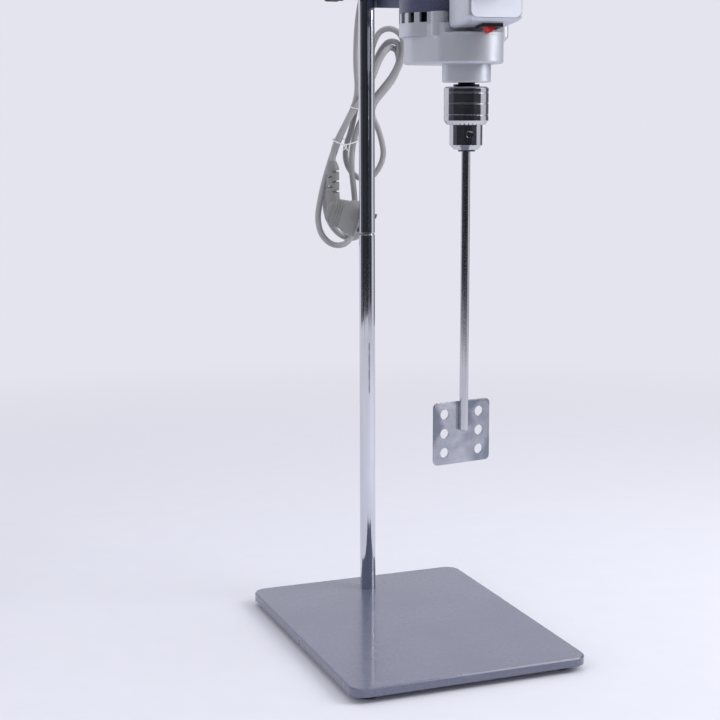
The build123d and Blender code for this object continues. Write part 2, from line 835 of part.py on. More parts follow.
fan_z = flange_z + small_bearing_width + 1.8
with BuildPart() as cooling_fan:
    with BuildSketch(motor_plane(fan_z)):
        Circle(fan_radius)
    extrude(amount=fan_web)
    with BuildSketch(motor_plane(fan_z)):
        Circle(fan_hub_radius)
    extrude(amount=fan_height)
    with BuildSketch(motor_plane(fan_z + fan_web)):
        with PolarLocations((fan_radius + fan_hub_radius) / 2, fan_blades):
            Rectangle(fan_radius - fan_hub_radius - 1.0, fan_blade_thick, rotation=18)
    extrude(amount=fan_height - fan_web)
    with BuildSketch(motor_plane(fan_z)):
        Circle(shaft_radius + screw_gap)
    extrude(amount=fan_height, mode=Mode.SUBTRACT)
keep(cooling_fan, "cooling_fan")

# ================================================================ stator
cover_bore = ring_radius - cover_wall
stack_radius = cover_bore - seat_gap
coil_window = 13.0
coil_depth = 9.2

with BuildPart() as stator_core:
    with BuildSketch(motor_plane(stack_z)):
        Circle(stack_radius)
        Circle(stack_bore, mode=Mode.SUBTRACT)
        for angle in (0, 180):
            with PolarLocations((stack_bore + 9.0), 1, start_angle=angle):
                Rectangle(coil_depth + 0.8, 2 * coil_window, mode=Mode.SUBTRACT)
        with PolarLocations(tie_screw_ring, 4, start_angle=45):
            Circle(tie_screw_radius + screw_gap, mode=Mode.SUBTRACT)
    extrude(amount=stack_height)
keep(stator_core, "stator_core")

with BuildPart() as field_coils:
    with BuildSketch(motor_plane(stack_z - coil_overhang)):
        for angle in (0, 180):
            with PolarLocations((stack_bore + 9.0), 1, start_angle=angle):
                Rectangle(coil_depth, 2 * coil_window - 0.8)
    extrude(amount=stack_height + 2 * coil_overhang)
    fillet(field_coils.edges().filter_by(Axis.Z), radius=2.0)
keep(field_coils, "field_coils")

with BuildPart() as tie_screws:
    with BuildSketch(motor_plane(lip_z)):
        with PolarLocations(tie_screw_ring, 4, start_angle=45):
            Circle(tie_screw_radius)
    extrude(amount=stack_z + stack_height - lip_z)
    with BuildSketch(motor_plane(stack_z + stack_height)):
        with PolarLocations(tie_screw_ring, 4, start_angle=45):
            Circle(tie_screw_radius + 1.4)
    extrude(amount=2.4)
keep(tie_screws, "tie_screws")

brush_z = commutator_z + commutator_height / 2
with BuildPart() as end_bridge:
    with BuildSketch(motor_plane(bridge_z)):
        Circle(stack_radius)
        Circle(stack_radius - 4.0, mode=Mode.SUBTRACT)
        Rectangle(2 * stack_radius - 6.0, bridge_width)
        Circle(small_bearing_radius + 2.6)
    extrude(amount=bridge_thick)
    with BuildSketch(motor_plane(bridge_z)):
        Circle(small_bearing_radius + 2.6)
    extrude(amount=small_bearing_width + 1.5)
    with BuildSketch(motor_plane(bridge_z - 0.5)):
        Circle(small_bearing_radius + seat_gap)
    extrude(amount=small_bearing_width + 0.7, mode=Mode.SUBTRACT)
    # legs down to the brush holders
    with BuildSketch(motor_plane(bridge_z)):
        for side in (-1, 1):
            with Locations((side * (commutator_radius + 12.0), 0)):
                Rectangle(14.0, brush_width + 6.0)
    extrude(amount=-(bridge_z - brush_z - brush_height / 2 - 1.6))
    for index in range(4):
        with BuildSketch(cover_screw_plane(index)):
            Circle(cover_screw_radius + screw_gap)
        extrude(amount=-cover_screw_length - 1.0, mode=Mode.SUBTRACT)
keep(end_bridge, "end_bridge")

with BuildPart() as brush_holders:
    with BuildSketch(motor_plane(brush_z - brush_height / 2 - 1.2)):
        for side in (-1, 1):
            with Locations((side * (commutator_radius + 2.0 + brush_length / 2 + 3.0), 0)):
                Rectangle(brush_length, brush_width + 2.4)
    extrude(amount=brush_height + 2.4)
    with BuildSketch(motor_plane(brush_z - brush_height / 2 - 0.1)):
        for side in (-1, 1):
            with Locations((side * (commutator_radius + 2.0 + brush_length / 2 + 1.0), 0)):
                Rectangle(brush_length + 1.0, brush_width + 0.2)
    extrude(amount=brush_height + 0.2, mode=Mode.SUBTRACT)
keep(brush_holders, "brush_holders")

with BuildPart() as carbon_brushes:
    with BuildSketch(motor_plane(brush_z - brush_height / 2)):
        for side in (-1, 1):
            with Locations((side * (commutator_radius + 0.3 + brush_length / 2), 0)):
                Rectangle(brush_length, brush_width)
    extrude(amount=brush_height)
keep(carbon_brushes, "carbon_brushes")

# ================================================================ motor cover
with BuildPart() as cover_cavity:
    with BuildSketch(motor_plane(ring_top - 1.0)):
        Circle(cover_bore)
    extrude(amount=cover_height - cover_wall + 1.0)
    fillet(cover_cavity.faces().sort_by(Axis.Z)[-1].edges(), radius=cover_crown - cover_wall)

with BuildPart() as motor_cover:
    with BuildSketch(motor_plane(ring_top)):
        Circle(ring_radius)
    extrude(amount=cover_height)
    fillet(motor_cover.faces().sort_by(Axis.Z)[-1].edges(), radius=cover_crown)
    add(cover_cavity.part, mode=Mode.SUBTRACT)
    with BuildSketch(motor_plane(cover_top - cover_wall - 1.0)):
        with PolarLocations(cover_vent_ring, cover_vent_count):
            SlotOverall(cover_vent_length, cover_vent_width)
    extrude(amount=cover_wall + 2.0, mode=Mode.SUBTRACT)
    with BuildSketch(bracket_screw_face):
        with bracket_screw_places():
            Circle(bracket_screw_radius + screw_gap)
    extrude(amount=-saddle_depth, mode=Mode.SUBTRACT)
    # outlet of the mains cord at the back
    gland_z = head_z + gland_lift
    with BuildSketch(back_plane(spindle_x, motor_y + ring_radius - 6.0, gland_z)):
        Circle(gland_radius - 2.0)
    extrude(amount=10.0, mode=Mode.SUBTRACT)
    for index in range(4):
        with BuildSketch(cover_screw_plane(index).offset(1.0)):
            Circle(cover_screw_radius + screw_gap)
        extrude(amount=-cover_screw_length, mode=Mode.SUBTRACT)
keep(motor_cover, "motor_cover")

with BuildPart() as cover_screws:
    for index in range(4):
        with BuildSketch(cover_screw_plane(index)):
            Circle(cover_screw_head_radius)
        extrude(amount=cover_screw_head_height)
        with BuildSketch(cover_screw_plane(index)):
            Circle(cover_screw_radius)
        extrude(amount=-cover_screw_length)
keep(cover_screws, "cover_screws")

# ================================================================ spindle and chuck
with BuildPart() as spindle:
    with BuildSketch(spindle_plane(sleeve_top - 14.0)):
        Circle(arbor_radius)
    extrude(amount=14.0)
    with BuildSketch(spindle_plane(sleeve_top)):
        Circle(spindle_radius)
    extrude(amount=upper_bearing_z + big_bearing_width - sleeve_top - 0.2)
    with BuildSketch(spindle_plane(sleeve_top + 0.05)):
        Circle(collar_radius)
    extrude(amount=collar_height)
    chamfer(spindle.faces().sort_by(Axis.Z)[-1].edges(), length=0.6)
keep(spindle, "spindle")


def jaw_plane(index):
    """Plane at a jaw's lower end whose normal runs up along the jaw."""
    angle = math.radians(jaw_first_angle + index * 360.0 / jaw_count)
    tilt = math.radians(jaw_tilt)
    outward = Vector(math.cos(angle), math.sin(angle), 0)
    around = Vector(-math.sin(angle), math.cos(angle), 0)
    along = outward * math.sin(tilt) + Vector(0, 0, math.cos(tilt))
    tip = Vector(spindle_x, spindle_y, chuck_bottom - jaw_protrusion) + outward * jaw_reach
    return Plane(origin=tip, x_dir=around, z_dir=along)


with BuildPart() as chuck_body:
    with BuildSketch(spindle_plane(chuck_bottom)):
        Circle(chuck_nose_radius)
    extrude(amount=nut_z - chuck_bottom)
    chamfer(chuck_body.faces().sort_by(Axis.Z)[0].edges(), length=chuck_bevel, length2=chuck_bevel * 0.95)
    with BuildSketch(spindle_plane(nut_z)):
        Circle(nut_seat_radius)
    extrude(amount=nut_height)
    with BuildSketch(spindle_plane(nut_z + nut_height)):
        Circle(chuck_body_radius)
    extrude(amount=sleeve_top - nut_z - nut_height)
    chamfer(chuck_body.faces().sort_by(Axis.Z)[-1].edges(), length=1.0)
    # bore for the stirring tool and socket of the spindle's arbor
    with BuildSketch(spindle_plane(chuck_bottom)):
        Circle(chuck_bore)
    extrude(amount=sleeve_top - 16.0 - chuck_bottom, mode=Mode.SUBTRACT)
    with BuildSketch(spindle_plane(sleeve_top - 14.5)):
        Circle(arbor_radius + seat_gap)
    extrude(amount=15.0, mode=Mode.SUBTRACT)
    # inclined jaw bores
    for index in range(jaw_count):
        with BuildSketch(jaw_plane(index).offset(-4.0)):
            Circle(jaw_radius + running_gap)
        extrude(amount=jaw_length + 9.0, mode=Mode.SUBTRACT)
    # holes that guide the key's pilot, between the jaws
    for index in range(jaw_count):
        angle = math.radians(jaw_first_angle + (index + 0.5) * 360.0 / jaw_count)
        outward = Vector(math.cos(angle), math.sin(angle), 0)
        hole = Plane(
            origin=Vector(spindle_x, spindle_y, sleeve_bottom - key_hole_drop) + outward * 8.5,
            z_dir=outward,
        )
        with BuildSketch(hole):
            Circle(key_hole_radius)
        extrude(amount=12.0, mode=Mode.SUBTRACT)
keep(chuck_body, "chuck_body")

with BuildPart() as tooth_space:
    # one space between two bevel teeth, lying along +X
    with BuildSketch(Plane.YZ.offset(chuck_nose_radius - 1.0)):
        Polygon((0, bevel_depth), (-0.95, -0.6), (0.95, -0.6), align=None)
    extrude(amount=sleeve_radius - chuck_nose_radius + 3.0)

with BuildPart() as chuck_sleeve:
    with BuildSketch(spindle_plane(sleeve_bottom)):
        Circle(sleeve_radius)
    extrude(amount=sleeve_length)
    chamfer(chuck_sleeve.faces().sort_by(Axis.Z)[-1].edges(), length=1.4)
    lower_rim = chuck_sleeve.faces().sort_by(Axis.Z)[0].edges()
    chamfer(lower_rim, length=bevel_height * 0.7, length2=bevel_shrink)
    for height in sleeve_groove_heights:
        with BuildSketch(spindle_plane(sleeve_bottom + height - sleeve_groove_width / 2)):
            Circle(sleeve_radius + 1.0)
            Circle(sleeve_radius - sleeve_groove_depth, mode=Mode.SUBTRACT)
        extrude(amount=sleeve_groove_width, mode=Mode.SUBTRACT)
    with BuildSketch(spindle_plane(sleeve_bottom)):
        Circle(chuck_nose_radius + 0.1)
    extrude(amount=sleeve_length, mode=Mode.SUBTRACT)
    with BuildSketch(spindle_plane(nut_z)):
        Circle(nut_radius + seat_gap)
    extrude(amount=nut_height, mode=Mode.SUBTRACT)
    with BuildSketch(spindle_plane(nut_z + nut_height)):
        Circle(sleeve_bore)
    extrude(amount=sleeve_length, mode=Mode.SUBTRACT)
    with Locations(spindle_plane(sleeve_bottom)):
        with PolarLocations(0, bevel_teeth):
            add(tooth_space.part, mode=Mode.SUBTRACT)
keep(chuck_sleeve, "chuck_sleeve")

# the split nut turns with the sleeve and its cone clears the jaws' backs
tilt_slope = math.tan(math.radians(jaw_tilt))
jaw_back = jaw_reach + jaw_radius / math.cos(math.radians(jaw_tilt))
jaw_back_low = jaw_back + (nut_z - chuck_bottom + jaw_protrusion) * tilt_slope
nut_bore_low = jaw_back_low + skin_gap
nut_bore_high = nut_bore_low + nut_height * tilt_slope

with BuildPart() as chuck_nut:
    with BuildSketch(spindle_plane(nut_z + 0.1)):
        Circle(nut_radius)
    extrude(amount=nut_height - 0.2)
    with Locations((spindle_x, spindle_y, nut_z + nut_height / 2)):
        Cone(nut_bore_low, nut_bore_high, nut_height, mode=Mode.SUBTRACT)
    with BuildSketch(spindle_plane(nut_z)):
        Rectangle(3 * nut_radius, 0.5)
    extrude(amount=nut_height, mode=Mode.SUBTRACT)
keep(chuck_nut, "chuck_nut")

for index in range(jaw_count):
    with BuildPart() as jaw:
        with BuildSketch(jaw_plane(index).offset(-2.0)):
            Circle(jaw_radius)
        extrude(amount=jaw_length)
        with BuildSketch(spindle_plane(chuck_bottom - 12.0)):
            Circle(stirrer_radius + running_gap)
        extrude(amount=80.0, mode=Mode.SUBTRACT)
        split(bisect_by=spindle_plane(chuck_bottom - jaw_protrusion), keep=Keep.TOP)
    keep(jaw, f"chuck_jaw_{index + 1}")

# ================================================================ stirring tool
stirrer_top = chuck_bottom + stirrer_insertion
stirrer_bottom = stirrer_top - stirrer_length
paddle_top = stirrer_bottom + paddle_overlap
paddle_frame = Plane(
    origin=(spindle_x, spindle_y, paddle_top - paddle_height / 2),
    x_dir=(math.cos(math.radians(paddle_turn)), math.sin(math.radians(paddle_turn)), 0),
    z_dir=(math.sin(math.radians(paddle_turn)), -math.cos(math.radians(paddle_turn)), 0),
)
weld_face = paddle_frame.offset(-(stirrer_radius - weld_flat))

with BuildPart() as stirring_shaft:
    with BuildSketch(spindle_plane(stirrer_bottom)):
        Circle(stirrer_radius)
    extrude(amount=stirrer_length)
    chamfer(stirring_shaft.faces().sort_by(Axis.Z)[-1].edges(), length=0.6)
    chamfer(stirring_shaft.faces().sort_by(Axis.Z)[0].edges(), length=0.6)
    with BuildSketch(weld_face):
        with Locations((0, paddle_height / 2 - paddle_overlap / 2)):
            Rectangle(4 * stirrer_radius, paddle_overlap + 0.5)
    extrude(amount=-4.0, mode=Mode.SUBTRACT)
keep(stirring_shaft, "stirring_shaft")

with BuildPart() as paddle:
    with BuildSketch(weld_face):
        RectangleRounded(paddle_width, paddle_height, paddle_corner)
        with GridLocations(2 * paddle_hole_side, paddle_hole_pitch, 2, 3):
            Circle(paddle_hole_radius, mode=Mode.SUBTRACT)
    extrude(amount=-paddle_thick)
    chamfer(paddle.faces().filter_by(GeomType.PLANE).sort_by(Axis.Y)[0].outer_wire().edges(), length=0.3)
keep(paddle, "paddle")

# ================================================================ control box
box_x = spindle_x
box_front_y = spindle_y - box_front
box_back_y = box_front_y + box_depth
box_bottom = head_z + box_lift
box_top = box_bottom + box_height
box_plane = Plane(origin=(box_x - box_width / 2, 0, 0), x_dir=(0, 1, 0), z_dir=(1, 0, 0))


def box_profile(inset):
    """Side outline of the control box; its underside slopes down to the back."""
    with BuildSketch(box_plane.offset(inset)) as side:
        with BuildLine():
            Polyline(
                (box_front_y + inset, box_bottom + box_slope + inset),
                (box_back_y - inset, box_bottom + inset),
                (box_back_y - inset, box_top - inset),
                (box_front_y + inset, box_top - inset),
                close=True,
            )
        make_face()
    return side


panel_centre_z = (box_bottom + box_top + box_slope) / 2
panel_height = box_height - box_slope - 2 * panel_margin - 2.0
panel_top = panel_centre_z + panel_height / 2
panel_width = box_width - 2 * panel_margin
display_z = panel_top - display_drop
dial_z = panel_top - dial_drop
panel_plane = Plane(origin=(box_x, box_front_y, panel_centre_z), x_dir=(1, 0, 0), z_dir=(0, -1, 0))
slope_angle = math.degrees(math.atan2(box_slope, box_depth))
switch_at = Plane(
    origin=(
        box_x + switch_side,
        box_front_y + switch_back,
        box_bottom + box_slope * (1 - switch_back / box_depth),
    ),
    x_dir=(1, 0, 0),
    z_dir=(0, -math.sin(math.radians(slope_angle)), -math.cos(math.radians(slope_angle))),
)

with BuildPart() as control_box:
    extrude(box_profile(0).sketch, amount=box_width)
    bottom_face = control_box.faces().sort_by(Axis.Z)[0]
    fillet(bottom_face.edges(), radius=box_bottom_corner)
    outer_edges = control_box.edges().filter_by(Axis.Z)
    fillet(outer_edges, radius=box_corner)
    top_face = control_box.faces().sort_by(Axis.Z)[-1]
    fillet(top_face.edges(), radius=box_corner - 0.4)
    extrude(box_profile(box_wall).sketch, amount=box_width - 2 * box_wall, mode=Mode.SUBTRACT)
    with BuildSketch(panel_plane):
        RectangleRounded(panel_width - 5.0, panel_height - 5.0, panel_corner - 2.5)
    extrude(amount=-(box_wall + 1.0), mode=Mode.SUBTRACT)
    # rebate that takes the front panel
    with BuildSketch(panel_plane):
        RectangleRounded(panel_width + 2 * seat_gap, panel_height + 2 * seat_gap, panel_corner)
    extrude(amount=-panel_thick, mode=Mode.SUBTRACT)
    # pad that seats the box on the motor cover
    with BuildSketch(back_plane(box_x, box_back_y - 0.5, box_bottom + pad_lift)):
        RectangleRounded(pad_width, pad_height, 4.0)
    extrude(amount=8.0)
    with BuildSketch(motor_plane(box_bottom)):
        Circle(ring_radius + seat_gap)
    extrude(amount=box_height + 5.0, mode=Mode.SUBTRACT)
    # opening of the rocker switch
    with BuildSketch(switch_at.offset(1.0)):
        Rectangle(switch_length + 2 * seat_gap, switch_width + 2 * seat_gap)
    extrude(amount=-(switch_body + 2.0), mode=Mode.SUBTRACT)
keep(control_box, "control_box")

with BuildPart() as front_panel:
    with BuildSketch(panel_plane.offset(-panel_thick)):
        RectangleRounded(panel_width, panel_height, panel_corner)
        with Locations((0, display_z - panel_centre_z)):
            RectangleRounded(
                display_width + 2 * seat_gap,
                display_height + 2 * seat_gap,
                1.5,
                mode=Mode.SUBTRACT,
            )
        with Locations((0, dial_z - panel_centre_z)):
            Circle(dial_shaft_radius + 0.6, mode=Mode.SUBTRACT)
    extrude(amount=panel_thick)
keep(front_panel, "front_panel")

with BuildPart() as display_window:
    with BuildSketch(panel_plane.offset(-panel_thick)):
        with Locations((0, display_z - panel_centre_z)):
            RectangleRounded(display_width, display_height, 1.5)
    extrude(amount=display_thick)
keep(display_window, "display_window")

with BuildPart() as circuit_board:
    with BuildSketch(panel_plane.offset(-panel_thick - 5.0)):
        Rectangle(panel_width - 5.0, panel_height - 12.0)
    extrude(amount=-board_thick)
    with BuildSketch(panel_plane.offset(-panel_thick - 5.0)):
        with Locations((0, display_z - panel_centre_z)):
            Rectangle(display_width - 2.0, display_height - 2.0)
        with GridLocations(box_width - 14.0, panel_height - 18.0, 2, 2):
            Circle(2.5)
    extrude(amount=5.0 - 0.02)
    with BuildSketch(panel_plane.offset(-panel_thick - 5.0)):
        with Locations((0, dial_z - panel_centre_z)):
            Circle(dial_shaft_radius + running_gap)
    extrude(amount=-board_thick, mode=Mode.SUBTRACT)
keep(circuit_board, "circuit_board")

with BuildPart() as speed_dial:
    dial_plane = Plane(origin=(box_x, box_front_y - 0.4, dial_z), x_dir=(1, 0, 0), z_dir=(0, -1, 0))
    with BuildSketch(dial_plane):
        Circle(dial_radius)
        with PolarLocations(dial_radius + 0.5, dial_flutes, start_angle=90 + 180 / dial_flutes):
            Circle(1.2, mode=Mode.SUBTRACT)
    extrude(amount=dial_height)
    chamfer(speed_dial.faces().sort_by(Axis.Y)[0].edges(), length=0.4)
    with BuildSketch(dial_plane.offset(dial_height)):
        with Locations((0, dial_radius * 0.55)):
            Rectangle(1.4, dial_radius * 0.6)
    extrude(amount=-0.6, mode=Mode.SUBTRACT)
    with BuildSketch(dial_plane):
        Circle(dial_shaft_radius)
    extrude(amount=-(panel_thick + 5.0 + board_thick))
keep(speed_dial, "speed_dial")

# ================================================================ rocker switch
rocker_plane = Plane(
    origin=switch_at.origin - switch_at.z_dir * rocker_sink,
    x_dir=switch_at.x_dir,
    z_dir=switch_at.y_dir,
)
with BuildPart() as switch_bezel:
    with BuildSketch(switch_at):
        RectangleRounded(switch_length + 2 * switch_rim, switch_width + 2 * switch_rim, 1.2)
    extrude(amount=switch_lip)
    with BuildSketch(switch_at):
        Rectangle(switch_length, switch_width)
    extrude(amount=-switch_body)
    with BuildSketch(switch_at.offset(switch_lip)):
        Rectangle(rocker_length + 1.2, rocker_width + 0.6)
    extrude(amount=-(switch_lip + 6.7), mode=Mode.SUBTRACT)
    for side in (-1, 1):
        with BuildSketch(rocker_plane.offset(side * (rocker_width / 2 + 0.3))):
            Circle(rocker_pivot_radius + running_gap)
        extrude(amount=side * 1.2, mode=Mode.SUBTRACT)
keep(switch_bezel, "switch_bezel")

rocker_turn = 180.0 if rocker_plane.y_dir.dot(switch_at.z_dir) < 0 else 0.0
with BuildPart() as switch_rocker:
    # prism whose ridge stands out between the two press faces
    with BuildSketch(rocker_plane.offset(-rocker_width / 2)):
        half = rocker_length / 2
        Polygon(
            (-half + 0.4, 2.2),
            (0, 1.5 + rocker_ridge + 1.4),
            (half - 0.4, 2.2),
            (half - 3.0, -2.4),
            (-half + 3.0, -2.4),
            align=None,
            rotation=rocker_turn - rocker_rest_tilt,
        )
    extrude(amount=rocker_width)
    with BuildSketch(rocker_plane.offset(-rocker_width / 2 - 1.0)):
        Circle(rocker_pivot_radius)
    extrude(amount=rocker_width + 2.0)
keep(switch_rocker, "switch_rocker")

# ================================================================ mains cord
gland_y = motor_y + ring_radius
with BuildPart() as cord_gland:
    gland_plane = Plane(origin=(spindle_x, gland_y - 3.5, gland_z), x_dir=(1, 0, 0), z_dir=(0, 1, 0))
    with BuildSketch(gland_plane):
        Circle(gland_radius - 2.0 - screw_gap)
    extrude(amount=4.5)
    with BuildSketch(gland_plane.offset(3.8)):
        Circle(gland_radius)
    with BuildSketch(gland_plane.offset(3.8 + gland_length)):
        Circle(cord_radius + 1.0)
    loft()
keep(cord_gland, "cord_gland")

cord_start = (spindle_x, gland_y + 0.3 + gland_length, gland_z)
points = [cord_start] + cord_route + [cord_end]


def bend_radii(route):
    """Largest gentle arc that each corner's two runs allow."""
    radii = []
    for before, corner, after in zip(route, route[1:], route[2:]):
        run_in = Vector(*corner) - Vector(*before)
        run_out = Vector(*after) - Vector(*corner)
        turn = math.radians(run_in.get_angle(run_out))
        radii.append(0.45 * min(run_in.length, run_out.length) / math.tan(turn / 2))
    return radii


cord_radii = bend_radii(points)
print("cord bend radii", [round(r) for r in cord_radii])
with BuildPart() as power_cord:
    with BuildLine() as cord_path:
        FilletPolyline(*points, radius=cord_radii)
    with BuildSketch(Plane(origin=cord_path.line @ 0, z_dir=cord_path.line % 0)):
        Circle(cord_radius)
    sweep()
cord_length = sum(edge.length for edge in cord_path.line.edges())
print("cord volume", round(power_cord.part.volume), "section times length",
      round(math.pi * cord_radius ** 2 * cord_length), "length", round(cord_length))
keep(power_cord, "power_cord")

with BuildPart() as cord_hank:
    with BuildSketch(Plane(origin=(0, hank_front, 0), x_dir=(1, 0, 0), z_dir=(0, -1, 0))):
        Polygon(*hank_outline, align=None)
    extrude(amount=-hank_thick)
    with BuildSketch(Plane(origin=(0, loops_front, 0), x_dir=(1, 0, 0), z_dir=(0, -1, 0))):
        Polygon(*loops_outline, align=None)
    extrude(amount=-loops_thick)
keep(cord_hank, "cord_hank")

with BuildPart() as cord_ties:
    for left, right, z in tie_spans:
        with BuildSketch(Plane(origin=(0, 0, z), x_dir=(1, 0, 0), z_dir=(0, 0, 1))):
            with Locations(((left + right) / 2, (hank_front + loops_front) / 2 - tie_thick)):
                Rectangle(right - left, loops_front - hank_front + 2 * tie_thick - 0.4)
            with Locations(((left + right) / 2, (hank_front + loops_front) / 2 + 5.0)):
                Rectangle(right - left - 2 * tie_thick, loops_front - hank_front + 10.6, mode=Mode.SUBTRACT)
        extrude(amount=tie_width)
keep(cord_ties, "cord_ties")

face_plane = Plane(origin=plug_face, z_dir=plug_axis)
axis_dir = face_plane.z_dir
neck_root = Vector(*plug_face) - axis_dir * plug_neck_setback
neck_dir = (Vector(*plug_neck_top) - neck_root).normalized()
neck_length = (Vector(*plug_neck_top) - neck_root).length

with BuildPart() as plug_body:
    with BuildSketch(face_plane):
        Circle(plug_radius)
    with BuildSketch(face_plane.offset(-plug_length)):
        Circle(plug_back_radius)
    loft()
    fillet(plug_body.faces().sort_by(Axis.Y)[-1].edges(), radius=3.0)
    with BuildSketch(Plane(origin=neck_root, z_dir=neck_dir)):
        Circle(plug_neck_radius + 1.5)
    with BuildSketch(Plane(origin=plug_neck_top, z_dir=(0, 0, 1))):
        Circle(cord_radius + 1.2)
    loft()
    with BuildSketch(face_plane):
        with Locations((0, pin_pitch / 2), (0, -pin_pitch / 2)):
            Circle(pin_radius + screw_gap)
    extrude(amount=-6.0, mode=Mode.SUBTRACT)
keep(plug_body, "plug_body")

with BuildPart() as plug_pins:
    with BuildSketch(face_plane.offset(-5.5)):
        with Locations((0, pin_pitch / 2), (0, -pin_pitch / 2)):
            Circle(pin_radius)
    extrude(amount=pin_length + 5.5)
keep(plug_pins, "plug_pins")
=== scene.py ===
"""Dresses the overhead stirrer: finishes, cord, lettering, lights and camera."""

import json
import logging
import math
from dataclasses import dataclass, field
from enum import Enum
from typing import Callable, Iterable, Sequence

import bmesh
import bpy
from mathutils import Matrix, Vector

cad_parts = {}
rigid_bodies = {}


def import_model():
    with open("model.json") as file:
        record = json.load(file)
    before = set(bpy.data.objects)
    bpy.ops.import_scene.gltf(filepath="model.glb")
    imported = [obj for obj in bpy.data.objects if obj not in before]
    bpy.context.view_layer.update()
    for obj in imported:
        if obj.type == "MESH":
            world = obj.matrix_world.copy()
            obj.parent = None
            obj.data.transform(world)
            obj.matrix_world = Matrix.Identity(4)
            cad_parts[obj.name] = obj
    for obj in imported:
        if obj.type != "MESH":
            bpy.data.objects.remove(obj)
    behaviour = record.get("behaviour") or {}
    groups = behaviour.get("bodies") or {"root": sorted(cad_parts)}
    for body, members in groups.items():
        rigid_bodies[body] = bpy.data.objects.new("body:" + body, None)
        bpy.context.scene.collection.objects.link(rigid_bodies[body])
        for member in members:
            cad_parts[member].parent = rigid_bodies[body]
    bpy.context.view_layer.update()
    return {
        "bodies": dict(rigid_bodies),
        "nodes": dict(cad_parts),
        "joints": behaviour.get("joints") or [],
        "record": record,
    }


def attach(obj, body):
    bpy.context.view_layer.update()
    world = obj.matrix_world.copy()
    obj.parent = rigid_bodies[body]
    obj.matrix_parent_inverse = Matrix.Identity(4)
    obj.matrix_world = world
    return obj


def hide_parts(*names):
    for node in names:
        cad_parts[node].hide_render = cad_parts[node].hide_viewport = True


logging.basicConfig(level=logging.INFO, format="%(message)s")
LOG = logging.getLogger("stirrer")
MM = 0.001
Colour = tuple[float, float, float]
Point = tuple[float, float, float]


def linear(red: int, green: int, blue: int) -> Colour:
    """Convert a display colour to the renderer's linear one.

    Args:
        red: Display red from 0 to 255.
        green: Display green from 0 to 255.
        blue: Display blue from 0 to 255.

    Returns:
        The linear colour.
    """
    def channel(value: int) -> float:
        share = value / 255.0
        return share / 12.92 if share <= 0.04045 else ((share + 0.055) / 1.055) ** 2.4

    return channel(red), channel(green), channel(blue)


